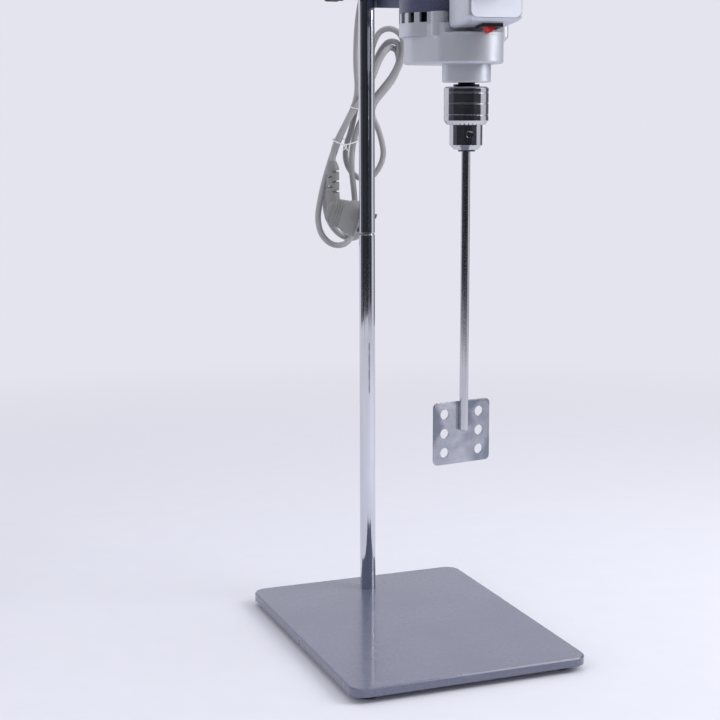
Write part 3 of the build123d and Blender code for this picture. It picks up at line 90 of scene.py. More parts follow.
# ------------------------------------------------------------------ node graphs
class Graph:
    """One material's node tree and short ways to extend it."""

    def __init__(self, name: str) -> None:
        """Start an empty material.

        Args:
            name: Name of the material.
        """
        self.material = bpy.data.materials.new(name)
        self.material.use_nodes = True
        self.tree = self.material.node_tree
        self.tree.nodes.clear()
        self.output = self.tree.nodes.new("ShaderNodeOutputMaterial")
        self._object: bpy.types.NodeSocket | None = None

    def add(self, kind: str, **settings: object) -> bpy.types.Node:
        """Add one node.

        Args:
            kind: Blender's name of the node type.
            **settings: Attributes to set on it.

        Returns:
            The node.
        """
        node = self.tree.nodes.new(kind)
        for key, value in settings.items():
            setattr(node, key, value)
        return node

    def link(self, source: bpy.types.NodeSocket, target: bpy.types.NodeSocket) -> None:
        """Join two sockets.

        Args:
            source: Output socket.
            target: Input socket.
        """
        self.tree.links.new(source, target)

    def place(self) -> bpy.types.NodeSocket:
        """Give the object coordinates.

        Returns:
            The vector socket.
        """
        if self._object is None:
            self._object = self.add("ShaderNodeTexCoord").outputs["Object"]
        return self._object

    def stretched(self, scale: Point, centre: Point = (0, 0, 0)) -> bpy.types.NodeSocket:
        """Give object coordinates moved to a centre and scaled by axis.

        Args:
            scale: Factor along each axis.
            centre: Point that becomes the origin, in metres.

        Returns:
            The vector socket.
        """
        shift = self.add("ShaderNodeVectorMath", operation="SUBTRACT")
        shift.inputs[1].default_value = centre
        self.link(self.place(), shift.inputs[0])
        scaled = self.add("ShaderNodeVectorMath", operation="MULTIPLY")
        scaled.inputs[1].default_value = scale
        self.link(shift.outputs[0], scaled.inputs[0])
        return scaled.outputs[0]

    def noise(
        self,
        vector: bpy.types.NodeSocket,
        scale: float,
        detail: float = 3.0,
        roughness: float = 0.5,
    ) -> bpy.types.NodeSocket:
        """Add noise.

        Args:
            vector: Coordinates.
            scale: Noise scale.
            detail: Octaves.
            roughness: Weight of the finer octaves.

        Returns:
            The factor socket.
        """
        node = self.add("ShaderNodeTexNoise")
        node.inputs["Scale"].default_value = scale
        node.inputs["Detail"].default_value = detail
        node.inputs["Roughness"].default_value = roughness
        self.link(vector, node.inputs["Vector"])
        return node.outputs["Fac"]

    def spread(
        self,
        value: bpy.types.NodeSocket,
        low: float,
        high: float,
        to_low: float = 0.0,
        to_high: float = 1.0,
    ) -> bpy.types.NodeSocket:
        """Map a range to another one, clamped.

        Args:
            value: Input value.
            low: Input at the low end.
            high: Input at the high end.
            to_low: Output at the low end.
            to_high: Output at the high end.

        Returns:
            The value socket.
        """
        node = self.add("ShaderNodeMapRange")
        for key, number in (("From Min", low), ("From Max", high), ("To Min", to_low), ("To Max", to_high)):
            node.inputs[key].default_value = number
        self.link(value, node.inputs["Value"])
        return node.outputs["Result"]

    def math(
        self,
        operation: str,
        first: bpy.types.NodeSocket,
        second: bpy.types.NodeSocket | float = 0.0,
    ) -> bpy.types.NodeSocket:
        """Add one arithmetic step.

        Args:
            operation: Blender's name of the operation.
            first: First input.
            second: Second input, a socket or a number.

        Returns:
            The value socket.
        """
        node = self.add("ShaderNodeMath", operation=operation)
        self.link(first, node.inputs[0])
        if isinstance(second, (int, float)):
            node.inputs[1].default_value = second
        else:
            self.link(second, node.inputs[1])
        return node.outputs[0]

    def mixed(
        self,
        factor: bpy.types.NodeSocket,
        first: Colour | bpy.types.NodeSocket,
        second: Colour | bpy.types.NodeSocket,
    ) -> bpy.types.NodeSocket:
        """Blend two colours.

        Args:
            factor: Share of the second colour.
            first: Colour at 0.
            second: Colour at 1.

        Returns:
            The colour socket.
        """
        node = self.add("ShaderNodeMix", data_type="RGBA")
        self.link(factor, node.inputs[0])
        for socket, colour in ((node.inputs[6], first), (node.inputs[7], second)):
            if isinstance(colour, tuple):
                socket.default_value = (*colour, 1.0)
            else:
                self.link(colour, socket)
        return node.outputs[2]

    def bump(
        self,
        height: bpy.types.NodeSocket,
        depth: float,
        strength: float = 1.0,
        normal: bpy.types.NodeSocket | None = None,
    ) -> bpy.types.NodeSocket:
        """Turn a height into a normal.

        Args:
            height: Height from 0 to 1.
            depth: Real height of 1, in metres.
            strength: Share of the effect.
            normal: Normal that it starts from.

        Returns:
            The normal socket.
        """
        node = self.add("ShaderNodeBump")
        node.inputs["Distance"].default_value = depth
        node.inputs["Strength"].default_value = strength
        self.link(height, node.inputs["Height"])
        if normal is not None:
            self.link(normal, node.inputs["Normal"])
        return node.outputs["Normal"]

    def rounded(self, radius: float) -> bpy.types.NodeSocket:
        """Soften edges in shading alone.

        Args:
            radius: Radius of the softened edge, in metres.

        Returns:
            The normal socket.
        """
        node = self.add("ShaderNodeBevel", samples=4)
        node.inputs["Radius"].default_value = radius
        return node.outputs["Normal"]

    def grouped(self, group: bpy.types.NodeTree, **inputs: object) -> bpy.types.Node:
        """Add a shared node group.

        Args:
            group: The group.
            **inputs: Sockets or numbers for its inputs.

        Returns:
            The group node.
        """
        node = self.add("ShaderNodeGroup", node_tree=group)
        for key, value in inputs.items():
            socket = node.inputs[key.replace("_", " ")]
            if isinstance(value, (int, float)):
                socket.default_value = value
            else:
                self.link(value, socket)
        return node

    def finish(self, **inputs: object) -> bpy.types.Material:
        """Add the surface shader and close the material.

        Args:
            **inputs: Sockets, numbers or colours by input name, with _ for spaces.

        Returns:
            The material.
        """
        shader = self.add("ShaderNodeBsdfPrincipled")
        for key, value in inputs.items():
            socket = shader.inputs[key.replace("_", " ")]
            if isinstance(value, (int, float)):
                socket.default_value = value
            elif isinstance(value, tuple):
                socket.default_value = (*value, 1.0) if len(value) == 3 else value
            else:
                self.link(value, socket)
        self.link(shader.outputs[0], self.output.inputs["Surface"])
        return self.material


class SharedEffects:
    """Node groups that several finishes use."""

    def __init__(self) -> None:
        """Build the groups."""
        self.handling = self._handling()

    def _handling(self) -> bpy.types.NodeTree:
        """Build the marks of handling: soft smudges and fine scratches.

        Returns:
            A group with the outputs Smudge and Scratch.
        """
        group = bpy.data.node_groups.new("handling_marks", "ShaderNodeTree")
        group.interface.new_socket("Vector", in_out="INPUT", socket_type="NodeSocketVector")
        group.interface.new_socket("Size", in_out="INPUT", socket_type="NodeSocketFloat")
        group.interface.new_socket("Smudge", in_out="OUTPUT", socket_type="NodeSocketFloat")
        group.interface.new_socket("Scratch", in_out="OUTPUT", socket_type="NodeSocketFloat")
        entry = group.nodes.new("NodeGroupInput")
        leave = group.nodes.new("NodeGroupOutput")
        scaled = group.nodes.new("ShaderNodeVectorMath")
        scaled.operation = "SCALE"
        group.links.new(entry.outputs["Vector"], scaled.inputs[0])
        group.links.new(entry.outputs["Size"], scaled.inputs["Scale"])
        smudge = group.nodes.new("ShaderNodeTexNoise")
        smudge.inputs["Scale"].default_value = 22.0
        smudge.inputs["Detail"].default_value = 4.0
        group.links.new(scaled.outputs[0], smudge.inputs["Vector"])
        scratch = group.nodes.new("ShaderNodeTexVoronoi")
        scratch.feature = "DISTANCE_TO_EDGE"
        scratch.inputs["Scale"].default_value = 60.0
        warp = group.nodes.new("ShaderNodeTexNoise")
        warp.inputs["Scale"].default_value = 9.0
        group.links.new(scaled.outputs[0], warp.inputs["Vector"])
        group.links.new(warp.outputs["Color"], scratch.inputs["Vector"])
        narrow = group.nodes.new("ShaderNodeMapRange")
        narrow.inputs["From Min"].default_value = 0.0
        narrow.inputs["From Max"].default_value = 0.02
        narrow.inputs["To Min"].default_value = 1.0
        narrow.inputs["To Max"].default_value = 0.0
        group.links.new(scratch.outputs["Distance"], narrow.inputs["Value"])
        group.links.new(smudge.outputs["Fac"], leave.inputs["Smudge"])
        group.links.new(narrow.outputs["Result"], leave.inputs["Scratch"])
        return group


# ------------------------------------------------------------------ finishes
class Grain(Enum):
    """Direction of a metal's machining marks."""

    NONE = (1.0, 1.0, 1.0)
    TURNED = (0.02, 0.02, 1.0)
    DRAWN = (1.0, 1.0, 0.02)
    CROSSWISE = (0.02, 1.0, 1.0)


@dataclass(frozen=True)
class MetalFinish:
    """Bare metal with machining marks, smudges, a softened edge and optional noise clouds of painted
    reflection.
    """

    name: str
    colour: Colour
    roughness: float
    grain: Grain = Grain.NONE
    line_scale: float = 900.0
    line_depth: float = 0.00002
    variation: float = 0.12
    edge: float = 0.0004
    metallic: float = 1.0
    # Darker tone: real patina on brass, the colour of painted mirror reflections on the paddle.
    patina: Colour | None = None
    # Scale of noise clouds painted in the darker tone as mirror reflections; 0 leaves them out.
    cloud_scale: float = 0.0

    def build(self, shared: SharedEffects) -> bpy.types.Material:
        """Make the material.

        Args:
            shared: Shared node groups.

        Returns:
            The material.
        """
        graph = Graph(self.name)
        lines = graph.noise(graph.stretched(self.grain.value), self.line_scale, 2.0)
        marks = graph.grouped(shared.handling, Vector=graph.place(), Size=1.0)
        darker = self.patina or tuple(value * (1.0 - self.variation * 1.6) for value in self.colour)
        smudge_and_reflection = graph.math("MULTIPLY", graph.spread(marks.outputs["Smudge"], 0.35, 0.7), 0.75)
        # Painted reflection: noise clouds mixed towards the darker tone copy a polished mirror's reflections.
        if self.cloud_scale:
            cloud = graph.spread(graph.noise(graph.place(), self.cloud_scale, 2.0), 0.42, 0.58)
            smudge_and_reflection = graph.math("MAXIMUM", smudge_and_reflection, cloud)
        colour = graph.mixed(smudge_and_reflection, self.colour, darker)
        polish = graph.spread(marks.outputs["Smudge"], 0.3, 0.75, self.roughness * 0.8, self.roughness * 1.35)
        streak = graph.spread(lines, 0.3, 0.7, -0.04 * (self.grain != Grain.NONE), 0.05)
        rough = graph.math("MAXIMUM", graph.math("ADD", polish, streak), 0.03)
        height = graph.math("SUBTRACT", lines, graph.math("MULTIPLY", marks.outputs["Scratch"], 0.12))
        normal = graph.bump(height, self.line_depth, 0.8, graph.rounded(self.edge))
        return graph.finish(Base_Color=colour, Metallic=self.metallic, Roughness=rough, Normal=normal)


@dataclass(frozen=True)
class PaintFinish:
    """Paint or powder coat with orange peel and worn edges."""

    name: str
    colour: Colour
    roughness: float
    peel_scale: float = 420.0
    peel_depth: float = 0.00004
    coat: float = 0.3
    coat_roughness: float = 0.12
    speckle: float = 0.08
    edge: float = 0.0006

    def build(self, shared: SharedEffects) -> bpy.types.Material:
        """Make the material.

        Args:
            shared: Shared node groups.

        Returns:
            The material.
        """
        graph = Graph(self.name)
        peel = graph.noise(graph.place(), self.peel_scale, 3.0, 0.6)
        marks = graph.grouped(shared.handling, Vector=graph.place(), Size=0.7)
        pale = tuple(min(1.0, value * (1.0 + self.speckle * 2.2) + 0.004) for value in self.colour)
        dark = tuple(value * (1.0 - self.speckle * 1.6) for value in self.colour)
        grains = graph.mixed(graph.spread(peel, 0.35, 0.65), dark, pale)
        cloud = graph.math("MULTIPLY", graph.spread(marks.outputs["Smudge"], 0.4, 0.75), 0.4)
        colour = graph.mixed(cloud, grains, dark)
        rough = graph.spread(marks.outputs["Smudge"], 0.3, 0.75, self.roughness * 0.85, self.roughness * 1.2)
        normal = graph.bump(peel, self.peel_depth, 0.7, graph.rounded(self.edge))
        return graph.finish(
            Base_Color=colour,
            Roughness=rough,
            Coat_Weight=self.coat,
            Coat_Roughness=self.coat_roughness,
            Normal=normal,
        )


@dataclass(frozen=True)
class MouldedFinish:
    """Moulded plastic or rubber with a fine grain."""

    name: str
    colour: Colour
    roughness: float
    grain_scale: float = 900.0
    grain_depth: float = 0.00003
    dust: float = 0.15
    sheen: float = 0.0
    edge: float = 0.0004

    def build(self, shared: SharedEffects) -> bpy.types.Material:
        """Make the material.

        Args:
            shared: Shared node groups.

        Returns:
            The material.
        """
        graph = Graph(self.name)
        grain = graph.noise(graph.place(), self.grain_scale, 2.0)
        marks = graph.grouped(shared.handling, Vector=graph.place(), Size=1.3)
        dusty = tuple(value + (0.35 - value) * self.dust * 0.5 for value in self.colour)
        share = graph.math("MULTIPLY", graph.spread(marks.outputs["Smudge"], 0.45, 0.8), 0.8)
        colour = graph.mixed(share, self.colour, dusty)
        rough = graph.spread(grain, 0.2, 0.8, self.roughness * 0.85, min(1.0, self.roughness * 1.2))
        normal = graph.bump(grain, self.grain_depth, 0.6, graph.rounded(self.edge))
        return graph.finish(
            Base_Color=colour,
            Roughness=rough,
            Sheen_Weight=self.sheen,
            Normal=normal,
        )


@dataclass(frozen=True)
class StackFinish:
    """Laminated or wound metal: fine layers across one direction."""

    name: str
    colour: Colour
    gap_colour: Colour
    pitch: float
    tilt: Point = (0.0, 0.0, 1.0)
    metallic: float = 0.9
    roughness: float = 0.35

    def build(self, shared: SharedEffects) -> bpy.types.Material:
        """Make the material.

        Args:
            shared: Shared node groups.

        Returns:
            The material.
        """
        graph = Graph(self.name)
        dot = graph.add("ShaderNodeVectorMath", operation="DOT_PRODUCT")
        dot.inputs[1].default_value = self.tilt
        graph.link(graph.place(), dot.inputs[0])
        layer = graph.math("PINGPONG", dot.outputs["Value"], self.pitch / 2)
        share = graph.spread(layer, 0.0, self.pitch / 2)
        gap = graph.spread(share, 0.0, 0.3, 1.0, 0.0)
        marks = graph.grouped(shared.handling, Vector=graph.place(), Size=2.0)
        worn = graph.mixed(graph.spread(marks.outputs["Smudge"], 0.4, 0.8), self.colour,
                           tuple(value * 0.7 for value in self.colour))
        colour = graph.mixed(gap, worn, self.gap_colour)
        normal = graph.bump(share, self.pitch * 0.2, 0.8)
        return graph.finish(
            Base_Color=colour,
            Metallic=self.metallic,
            Roughness=self.roughness,
            Normal=normal,
        )


@dataclass(frozen=True)
class WindowFinish:
    """Clear-coated dark display window."""

    name: str
    colour: Colour

    def build(self, shared: SharedEffects) -> bpy.types.Material:
        """Make the material.

        Args:
            shared: Shared node groups.

        Returns:
            The material.
        """
        graph = Graph(self.name)
        marks = graph.grouped(shared.handling, Vector=graph.place(), Size=1.0)
        lighter = tuple(value * 1.4 + 0.004 for value in self.colour)
        colour = graph.mixed(graph.spread(marks.outputs["Smudge"], 0.3, 0.8), self.colour, lighter)
        rough = graph.spread(marks.outputs["Smudge"], 0.35, 0.75, 0.05, 0.14)
        return graph.finish(Base_Color=colour, Roughness=rough, Coat_Weight=1.0, Coat_Roughness=0.04)


@dataclass(frozen=True)
class BoardFinish:
    """Circuit board with tracks under green lacquer."""

    name: str

    def build(self, shared: SharedEffects) -> bpy.types.Material:
        """Make the material.

        Args:
            shared: Shared node groups, not used here.

        Returns:
            The material.
        """
        graph = Graph(self.name)
        cells = graph.add("ShaderNodeTexVoronoi", feature="DISTANCE_TO_EDGE", distance="MANHATTAN")
        cells.inputs["Scale"].default_value = 170.0
        graph.link(graph.place(), cells.inputs["Vector"])
        track = graph.spread(cells.outputs["Distance"], 0.05, 0.1, 1.0, 0.0)
        colour = graph.mixed(track, linear(24, 82, 50), linear(52, 122, 74))
        normal = graph.bump(track, 0.00006)
        return graph.finish(Base_Color=colour, Roughness=0.3, Coat_Weight=0.4, Normal=normal)


@dataclass(frozen=True)
class InkFinish:
    """Printed or filled marking with a slightly uneven edge of tone."""

    name: str
    colour: Colour
    glow: float = 0.0

    def build(self, shared: SharedEffects) -> bpy.types.Material:
        """Make the material.

        Args:
            shared: Shared node groups, not used here.

        Returns:
            The material.
        """
        graph = Graph(self.name)
        tone = graph.noise(graph.place(), 600.0, 2.0)
        dark = tuple(value * 0.85 for value in self.colour)
        colour = graph.mixed(tone, dark, self.colour)
        return graph.finish(
            Base_Color=colour,
            Roughness=0.5,
            Emission_Color=self.colour,
            Emission_Strength=self.glow,
        )


class Finishes:
    """Every material of the object, by short name."""

    def __init__(self) -> None:
        """Build all the finishes."""
        shared = SharedEffects()
        kinds = [
            PaintFinish("plate_paint", linear(104, 107, 128), 0.28, coat=0.5, coat_roughness=0.1,
                        peel_scale=300.0, peel_depth=0.00003, speckle=0.04),
            PaintFinish("head_paint", linear(62, 66, 92), 0.42, peel_scale=700.0, peel_depth=0.00010,
                        coat=0.25, coat_roughness=0.25, speckle=0.12),
            PaintFinish("panel_paint", linear(228, 231, 240), 0.4, peel_scale=900.0, peel_depth=0.00001,
                        coat=0.15, speckle=0.01),
            MetalFinish("column_chrome", linear(214, 216, 222), 0.07, Grain.DRAWN, line_depth=0.000001,
                        variation=0.06, edge=0.0004),
            MetalFinish("chuck_chrome", linear(206, 207, 211), 0.10, Grain.TURNED, line_depth=0.000002,
                        variation=0.10, edge=0.0003),
            MetalFinish("black_oxide", linear(52, 52, 56), 0.34, Grain.TURNED, line_depth=0.000006,
                        variation=0.16),
            MetalFinish("turned_alloy", linear(196, 199, 207), 0.40, Grain.TURNED, line_scale=1400.0,
                        line_depth=0.000016, variation=0.06, edge=0.0008, metallic=0.55),
            MetalFinish("box_alloy", linear(200, 203, 211), 0.38, Grain.CROSSWISE, line_scale=1200.0,
                        line_depth=0.000010, variation=0.05, edge=0.0008, metallic=0.6),
            # Paddle: the darker tone and its noise clouds are painted mirror reflections, not real patina.
            MetalFinish("paddle_steel", linear(204, 206, 212), 0.16, Grain.CROSSWISE, line_scale=700.0,
                        line_depth=0.000008, patina=linear(132, 138, 150), cloud_scale=26.0),
            MetalFinish("stainless", linear(206, 208, 213), 0.12, Grain.DRAWN, line_scale=800.0,
                        line_depth=0.000002, variation=0.08, edge=0.0003),
            MetalFinish("zinc", linear(170, 172, 176), 0.32, line_depth=0.00001, variation=0.2),
            MetalFinish("tool_steel", linear(120, 122, 128), 0.28, Grain.TURNED, line_depth=0.00001,
                        variation=0.18),
            MetalFinish("bearing_steel", linear(176, 178, 184), 0.16, Grain.TURNED, variation=0.1),
            MetalFinish("brass", linear(196, 166, 96), 0.25, variation=0.18,
                        patina=linear(142, 112, 58)),
            MouldedFinish("black_rubber", linear(26, 26, 29), 0.72, grain_depth=0.00006, dust=0.2),
            MouldedFinish("black_plastic", linear(24, 24, 27), 0.42, dust=0.1),
            MouldedFinish("knob_plastic", linear(52, 34, 36), 0.45, dust=0.12, grain_depth=0.00005),
            MouldedFinish("dial_plastic", linear(34, 35, 39), 0.48, dust=0.1, grain_depth=0.00005),
            MouldedFinish("liner_plastic", linear(30, 30, 32), 0.55, dust=0.15),
            MouldedFinish("rocker_red", linear(190, 32, 30), 0.26, dust=0.02, grain_depth=0.00001),
            MouldedFinish("cord_sheath", linear(158, 157, 160), 0.42, grain_scale=1400.0, dust=0.12,
                          sheen=0.05),
            MouldedFinish("plug_rubber", linear(134, 134, 134), 0.46, dust=0.12, grain_depth=0.00005),
            MouldedFinish("tie_wire", linear(226, 224, 226), 0.4, dust=0.05, grain_depth=0.00001),
            MouldedFinish("carbon", linear(28, 28, 30), 0.6, dust=0.3),
            MouldedFinish("fan_plastic", linear(26, 27, 30), 0.5, dust=0.3),
            StackFinish("laminations", linear(112, 114, 120), linear(40, 40, 44), 0.0006),
            StackFinish("copper_winding", linear(184, 104, 62), linear(92, 42, 22), 0.0009,
                        (0.35, 0.15, 0.92)),
            WindowFinish("display_glass", linear(24, 44, 48)),
            BoardFinish("board_green"),
            InkFinish("ink_dark", linear(52, 54, 62)),
            InkFinish("ink_white", linear(232, 233, 236)),
            InkFinish("digits", linear(150, 226, 226), 0.6),
        ]
        self._made = {kind.name: kind.build(shared) for kind in kinds}

    def __getitem__(self, name: str) -> bpy.types.Material:
        """Give a finish by name.

        Args:
            name: Its short name.

        Returns:
            The material.
        """
        return self._made[name]


# ------------------------------------------------------------------ meshes
def tube_curve(name: str, radius: float, round_steps: int, length_steps: int) -> bpy.types.Curve:
    """Start a curve that shows as a round tube.

    Args:
        name: Name of the curve.
        radius: Radius of the tube in metres.
        round_steps: Bevel resolution round it.
        length_steps: Steps between two points.

    Returns:
        The curve, without lines.
    """
    curve = bpy.data.curves.new(name, "CURVE")
    curve.dimensions = "3D"
    curve.bevel_depth = radius
    curve.bevel_resolution = round_steps
    curve.resolution_u = length_steps
    return curve


def add_line(curve: bpy.types.Curve, points: Sequence[Point], closed: bool = False) -> None:
    """Add a smooth line to a curve.

    Args:
        curve: The curve.
        points: Its control points, in millimetres.
        closed: Whether it joins up.
    """
    spline = curve.splines.new("NURBS")
    spline.points.add(len(points) - 1)
    for target, point in zip(spline.points, points):
        target.co = (*(value * MM for value in point), 1.0)
    spline.order_u = 3
    spline.use_endpoint_u = not closed
    spline.use_cyclic_u = closed


def mesh_from(name: str, curve: bpy.types.Curve) -> bpy.types.Mesh:
    """Turn a curve or text into a mesh and delete it.

    Args:
        name: Name of the piece.
        curve: The curve or text.

    Returns:
        The mesh.
    """
    source = bpy.data.objects.new(name + "_source", curve)
    bpy.context.scene.collection.objects.link(source)
    bpy.context.view_layer.update()
    depsgraph = bpy.context.evaluated_depsgraph_get()
    data = bpy.data.meshes.new_from_object(source.evaluated_get(depsgraph))
    bpy.data.objects.remove(source)
    bpy.data.curves.remove(curve)
    return data


def add_object(name: str, data: bpy.types.ID) -> bpy.types.Object:
    """Put data into the scene as an object at the origin.

    Args:
        name: Name of the object.
        data: Mesh, curve, camera or light.

    Returns:
        The object.
    """
    thing = bpy.data.objects.new(name, data)
    bpy.context.scene.collection.objects.link(thing)
    return thing


def rectangle(length: float, width: float) -> list[tuple[float, float]]:
    """Give the corners of a rectangle about the origin.

    Args:
        length: Size along X.
        width: Size along Y.

    Returns:
        Its four corners.
    """
    x, y = length / 2, width / 2
    return [(-x, -y), (x, -y), (x, y), (-x, y)]


class Shaper:
    """Makes meshes in place, in the object's own frame."""

    @staticmethod
    def keep(
        name: str,
        mesh: bmesh.types.BMesh,
        material: bpy.types.Material,
        smooth: float = 35.0,
    ) -> bpy.types.Object:
        """Turn a bmesh into an object at the origin.

        Args:
            name: Name of the piece.
            mesh: The mesh, freed afterwards.
            material: Its finish.
            smooth: Largest angle between faces that shade as one, in degrees.

        Returns:
            The object.
        """
        bmesh.ops.recalc_face_normals(mesh, faces=mesh.faces[:])
        limit = math.radians(smooth)
        for face in mesh.faces:
            face.smooth = True
        for edge in mesh.edges:
            if len(edge.link_faces) == 2:
                edge.smooth = edge.calc_face_angle(0.0) < limit
        data = bpy.data.meshes.new(name)
        mesh.to_mesh(data)
        mesh.free()
        data.materials.append(material)
        return add_object(name, data)

    @staticmethod
    def frame(origin: Vector, along: Vector, hint: Vector = Vector((0, 0, 1))) -> Matrix:
        """Place local Z along a direction at an origin.

        Args:
            origin: Where local zero goes.
            along: Direction of local Z.
            hint: Direction that local X leans towards.

        Returns:
            The matrix.
        """
        z_axis = along.normalized()
        x_axis = hint - z_axis * hint.dot(z_axis)
        if x_axis.length < 1e-6:
            x_axis = Vector((1, 0, 0)) - z_axis * z_axis.x
        x_axis.normalize()
        y_axis = z_axis.cross(x_axis)
        rotation = Matrix((x_axis, y_axis, z_axis)).transposed().to_4x4()
        return Matrix.Translation(origin) @ rotation

    @staticmethod
    def turned(
        profile: Sequence[tuple[float, float]],
        placing: Matrix,
        segments: int = 48,
        cut: Callable[[float, float], float] | None = None,
    ) -> bmesh.types.BMesh:
        """Spin a profile about local Z.

        Args:
            profile: Radius and height pairs in metres, from one end to the other.
            placing: Where the local frame goes.
            segments: Steps round.
            cut: Optional share of the radius that stays, by angle and height.

        Returns:
            A closed bmesh.
        """
        mesh = bmesh.new()
        chain = [mesh.verts.new((radius, 0.0, height)) for radius, height in profile]
        edges = [mesh.edges.new(pair) for pair in zip(chain, chain[1:])]
        bmesh.ops.spin(mesh, geom=chain + edges, cent=(0, 0, 0), axis=(0, 0, 1), steps=segments,
                       angle=math.tau, use_merge=True)
        bmesh.ops.remove_doubles(mesh, verts=mesh.verts[:], dist=1e-6)
        rims = [edge for edge in mesh.edges if edge.is_boundary]
        bmesh.ops.holes_fill(mesh, edges=rims, sides=0)
        if cut:
            for vert in mesh.verts:
                share = cut(math.atan2(vert.co.y, vert.co.x), vert.co.z)
                vert.co.x *= share
                vert.co.y *= share
        mesh.transform(placing)
        return mesh

    @staticmethod
    def thickened(mesh: bmesh.types.BMesh, thick: float, placing: Matrix) -> bmesh.types.BMesh:
        """Extrude a flat mesh along local Z and put it in place.

        Args:
            mesh: The flat mesh, changed in place.
            thick: Thickness along local Z.
            placing: Where the local frame goes.

        Returns:
            The same bmesh, now closed.
        """
        raised = bmesh.ops.extrude_face_region(mesh, geom=mesh.faces[:])["geom"]
        moved = [item for item in raised if isinstance(item, bmesh.types.BMVert)]
        bmesh.ops.translate(mesh, verts=moved, vec=(0, 0, thick))
        mesh.transform(placing)
        return mesh

    @staticmethod
    def ring(
        outline: Sequence[tuple[float, float]],
        wide: float,
        thick: float,
        placing: Matrix,
    ) -> bmesh.types.BMesh:
        """Make a flat ring inside an outline.

        Args:
            outline: Corners in the local XY plane, in metres.
            wide: Width of the ring.
            thick: Thickness along local Z.
            placing: Where the local frame goes.

        Returns:
            A closed bmesh.
        """
        mesh = bmesh.new()
        face = mesh.faces.new([mesh.verts.new((x, y, 0.0)) for x, y in outline])
        bmesh.ops.inset_region(mesh, faces=[face], thickness=wide, use_boundary=True,
                               use_even_offset=True)
        bmesh.ops.delete(mesh, geom=[face], context="FACES_ONLY")
        return Shaper.thickened(mesh, thick, placing)

    @staticmethod
    def plate(
        outline: Sequence[tuple[float, float]],
        thick: float,
        placing: Matrix,
    ) -> bmesh.types.BMesh:
        """Thicken a flat outline.

        Args:
            outline: Corners in the local XY plane, in metres.
            thick: Thickness along local Z.
            placing: Where the local frame goes.

        Returns:
            A closed bmesh.
        """
        mesh = bmesh.new()
        mesh.faces.new([mesh.verts.new((x, y, 0.0)) for x, y in outline])
        return Shaper.thickened(mesh, thick, placing)

    @staticmethod
    def joined(parts: Iterable[bmesh.types.BMesh]) -> bmesh.types.BMesh:
        """Join several meshes.

        Args:
            parts: The meshes, freed afterwards.

        Returns:
            One bmesh.
        """
        mesh = bmesh.new()
        for part in parts:
            data = bpy.data.meshes.new("part")
            part.to_mesh(data)
            part.free()
            mesh.from_mesh(data)
            bpy.data.meshes.remove(data)
        return mesh

    @staticmethod
    def wire(name: str, lines: Sequence[Sequence[Point]], radius: float,
             material: bpy.types.Material, closed: Sequence[bool]) -> bpy.types.Object:
        """Make round wire along smooth lines, as a mesh.

        Args:
            name: Name of the piece.
            lines: Points of each line, in millimetres.
            radius: Radius of the wire in metres.
            material: Its finish.
            closed: Whether each line joins up.

        Returns:
            The object.
        """
        curve = tube_curve(name + "_curve", radius, 3, 5)
        curve.use_fill_caps = True
        for points, loop in zip(lines, closed):
            add_line(curve, points, loop)
        data = mesh_from(name, curve)
        mesh = bmesh.new()
        mesh.from_mesh(data)
        bpy.data.meshes.remove(data)
        bmesh.ops.remove_doubles(mesh, verts=mesh.verts[:], dist=1e-7)
        return Shaper.keep(name, mesh, material, 60.0)


def rounded_rectangle(
    width: float,
    height: float,
    radius: float,
    steps: int = 6,
) -> list[tuple[float, float]]:
    """Give the corners of a rounded rectangle.

    Args:
        width: Full width.
        height: Full height.
        radius: Corner radius.
        steps: Steps in each corner.

    Returns:
        Points round it.
    """
    points = []
    for quarter, (sx, sy) in enumerate(((1, 1), (-1, 1), (-1, -1), (1, -1))):
        for step in range(steps + 1):
            angle = math.radians(90 * (quarter + step / steps))
            points.append((
                sx * (width / 2 - radius) + radius * math.cos(angle),
                sy * (height / 2 - radius) + radius * math.sin(angle),
            ))
    return points


# ------------------------------------------------------------------ assemblies
@dataclass
class Assembly:
    """Group of nodes with a finish for each."""

    plan: dict[str, str] = field(default_factory=dict)

    def build(self, frame: dict, finishes: Finishes) -> None:
        """Dress the nodes of the assembly.

        Args:
            frame: The loaded frame.
            finishes: All the finishes.
        """
        for node, finish in self.plan.items():
            piece = frame["nodes"][node]
            if not piece.material_slots:
                piece.data.materials.append(finishes[finish])
            for place in piece.material_slots:
                place.material = finishes[finish]
            LOG.info("dressed %s as %s", node, finish)


@dataclass
class Stand(Assembly):
    """Base plate, feet and the two-part column."""

    plan: dict[str, str] = field(default_factory=lambda: {
        "base_plate": "plate_paint",
        "rubber_feet": "black_rubber",
        "foot_screws": "zinc",
        "column_bolt": "zinc",
        "column_stud": "zinc",
        "column_lower": "column_chrome",
        "column_upper": "column_chrome",
    })


@dataclass
class ColumnClamp(Assembly):
    """Bracket, liner, clamp screw and knob."""

    plan: dict[str, str] = field(default_factory=lambda: {
        "clamp_liner": "liner_plastic",
        "head_bracket": "head_paint",
        "bracket_screws": "zinc",
        "clamp_screw": "zinc",
        "clamp_knob": "knob_plastic",
    })


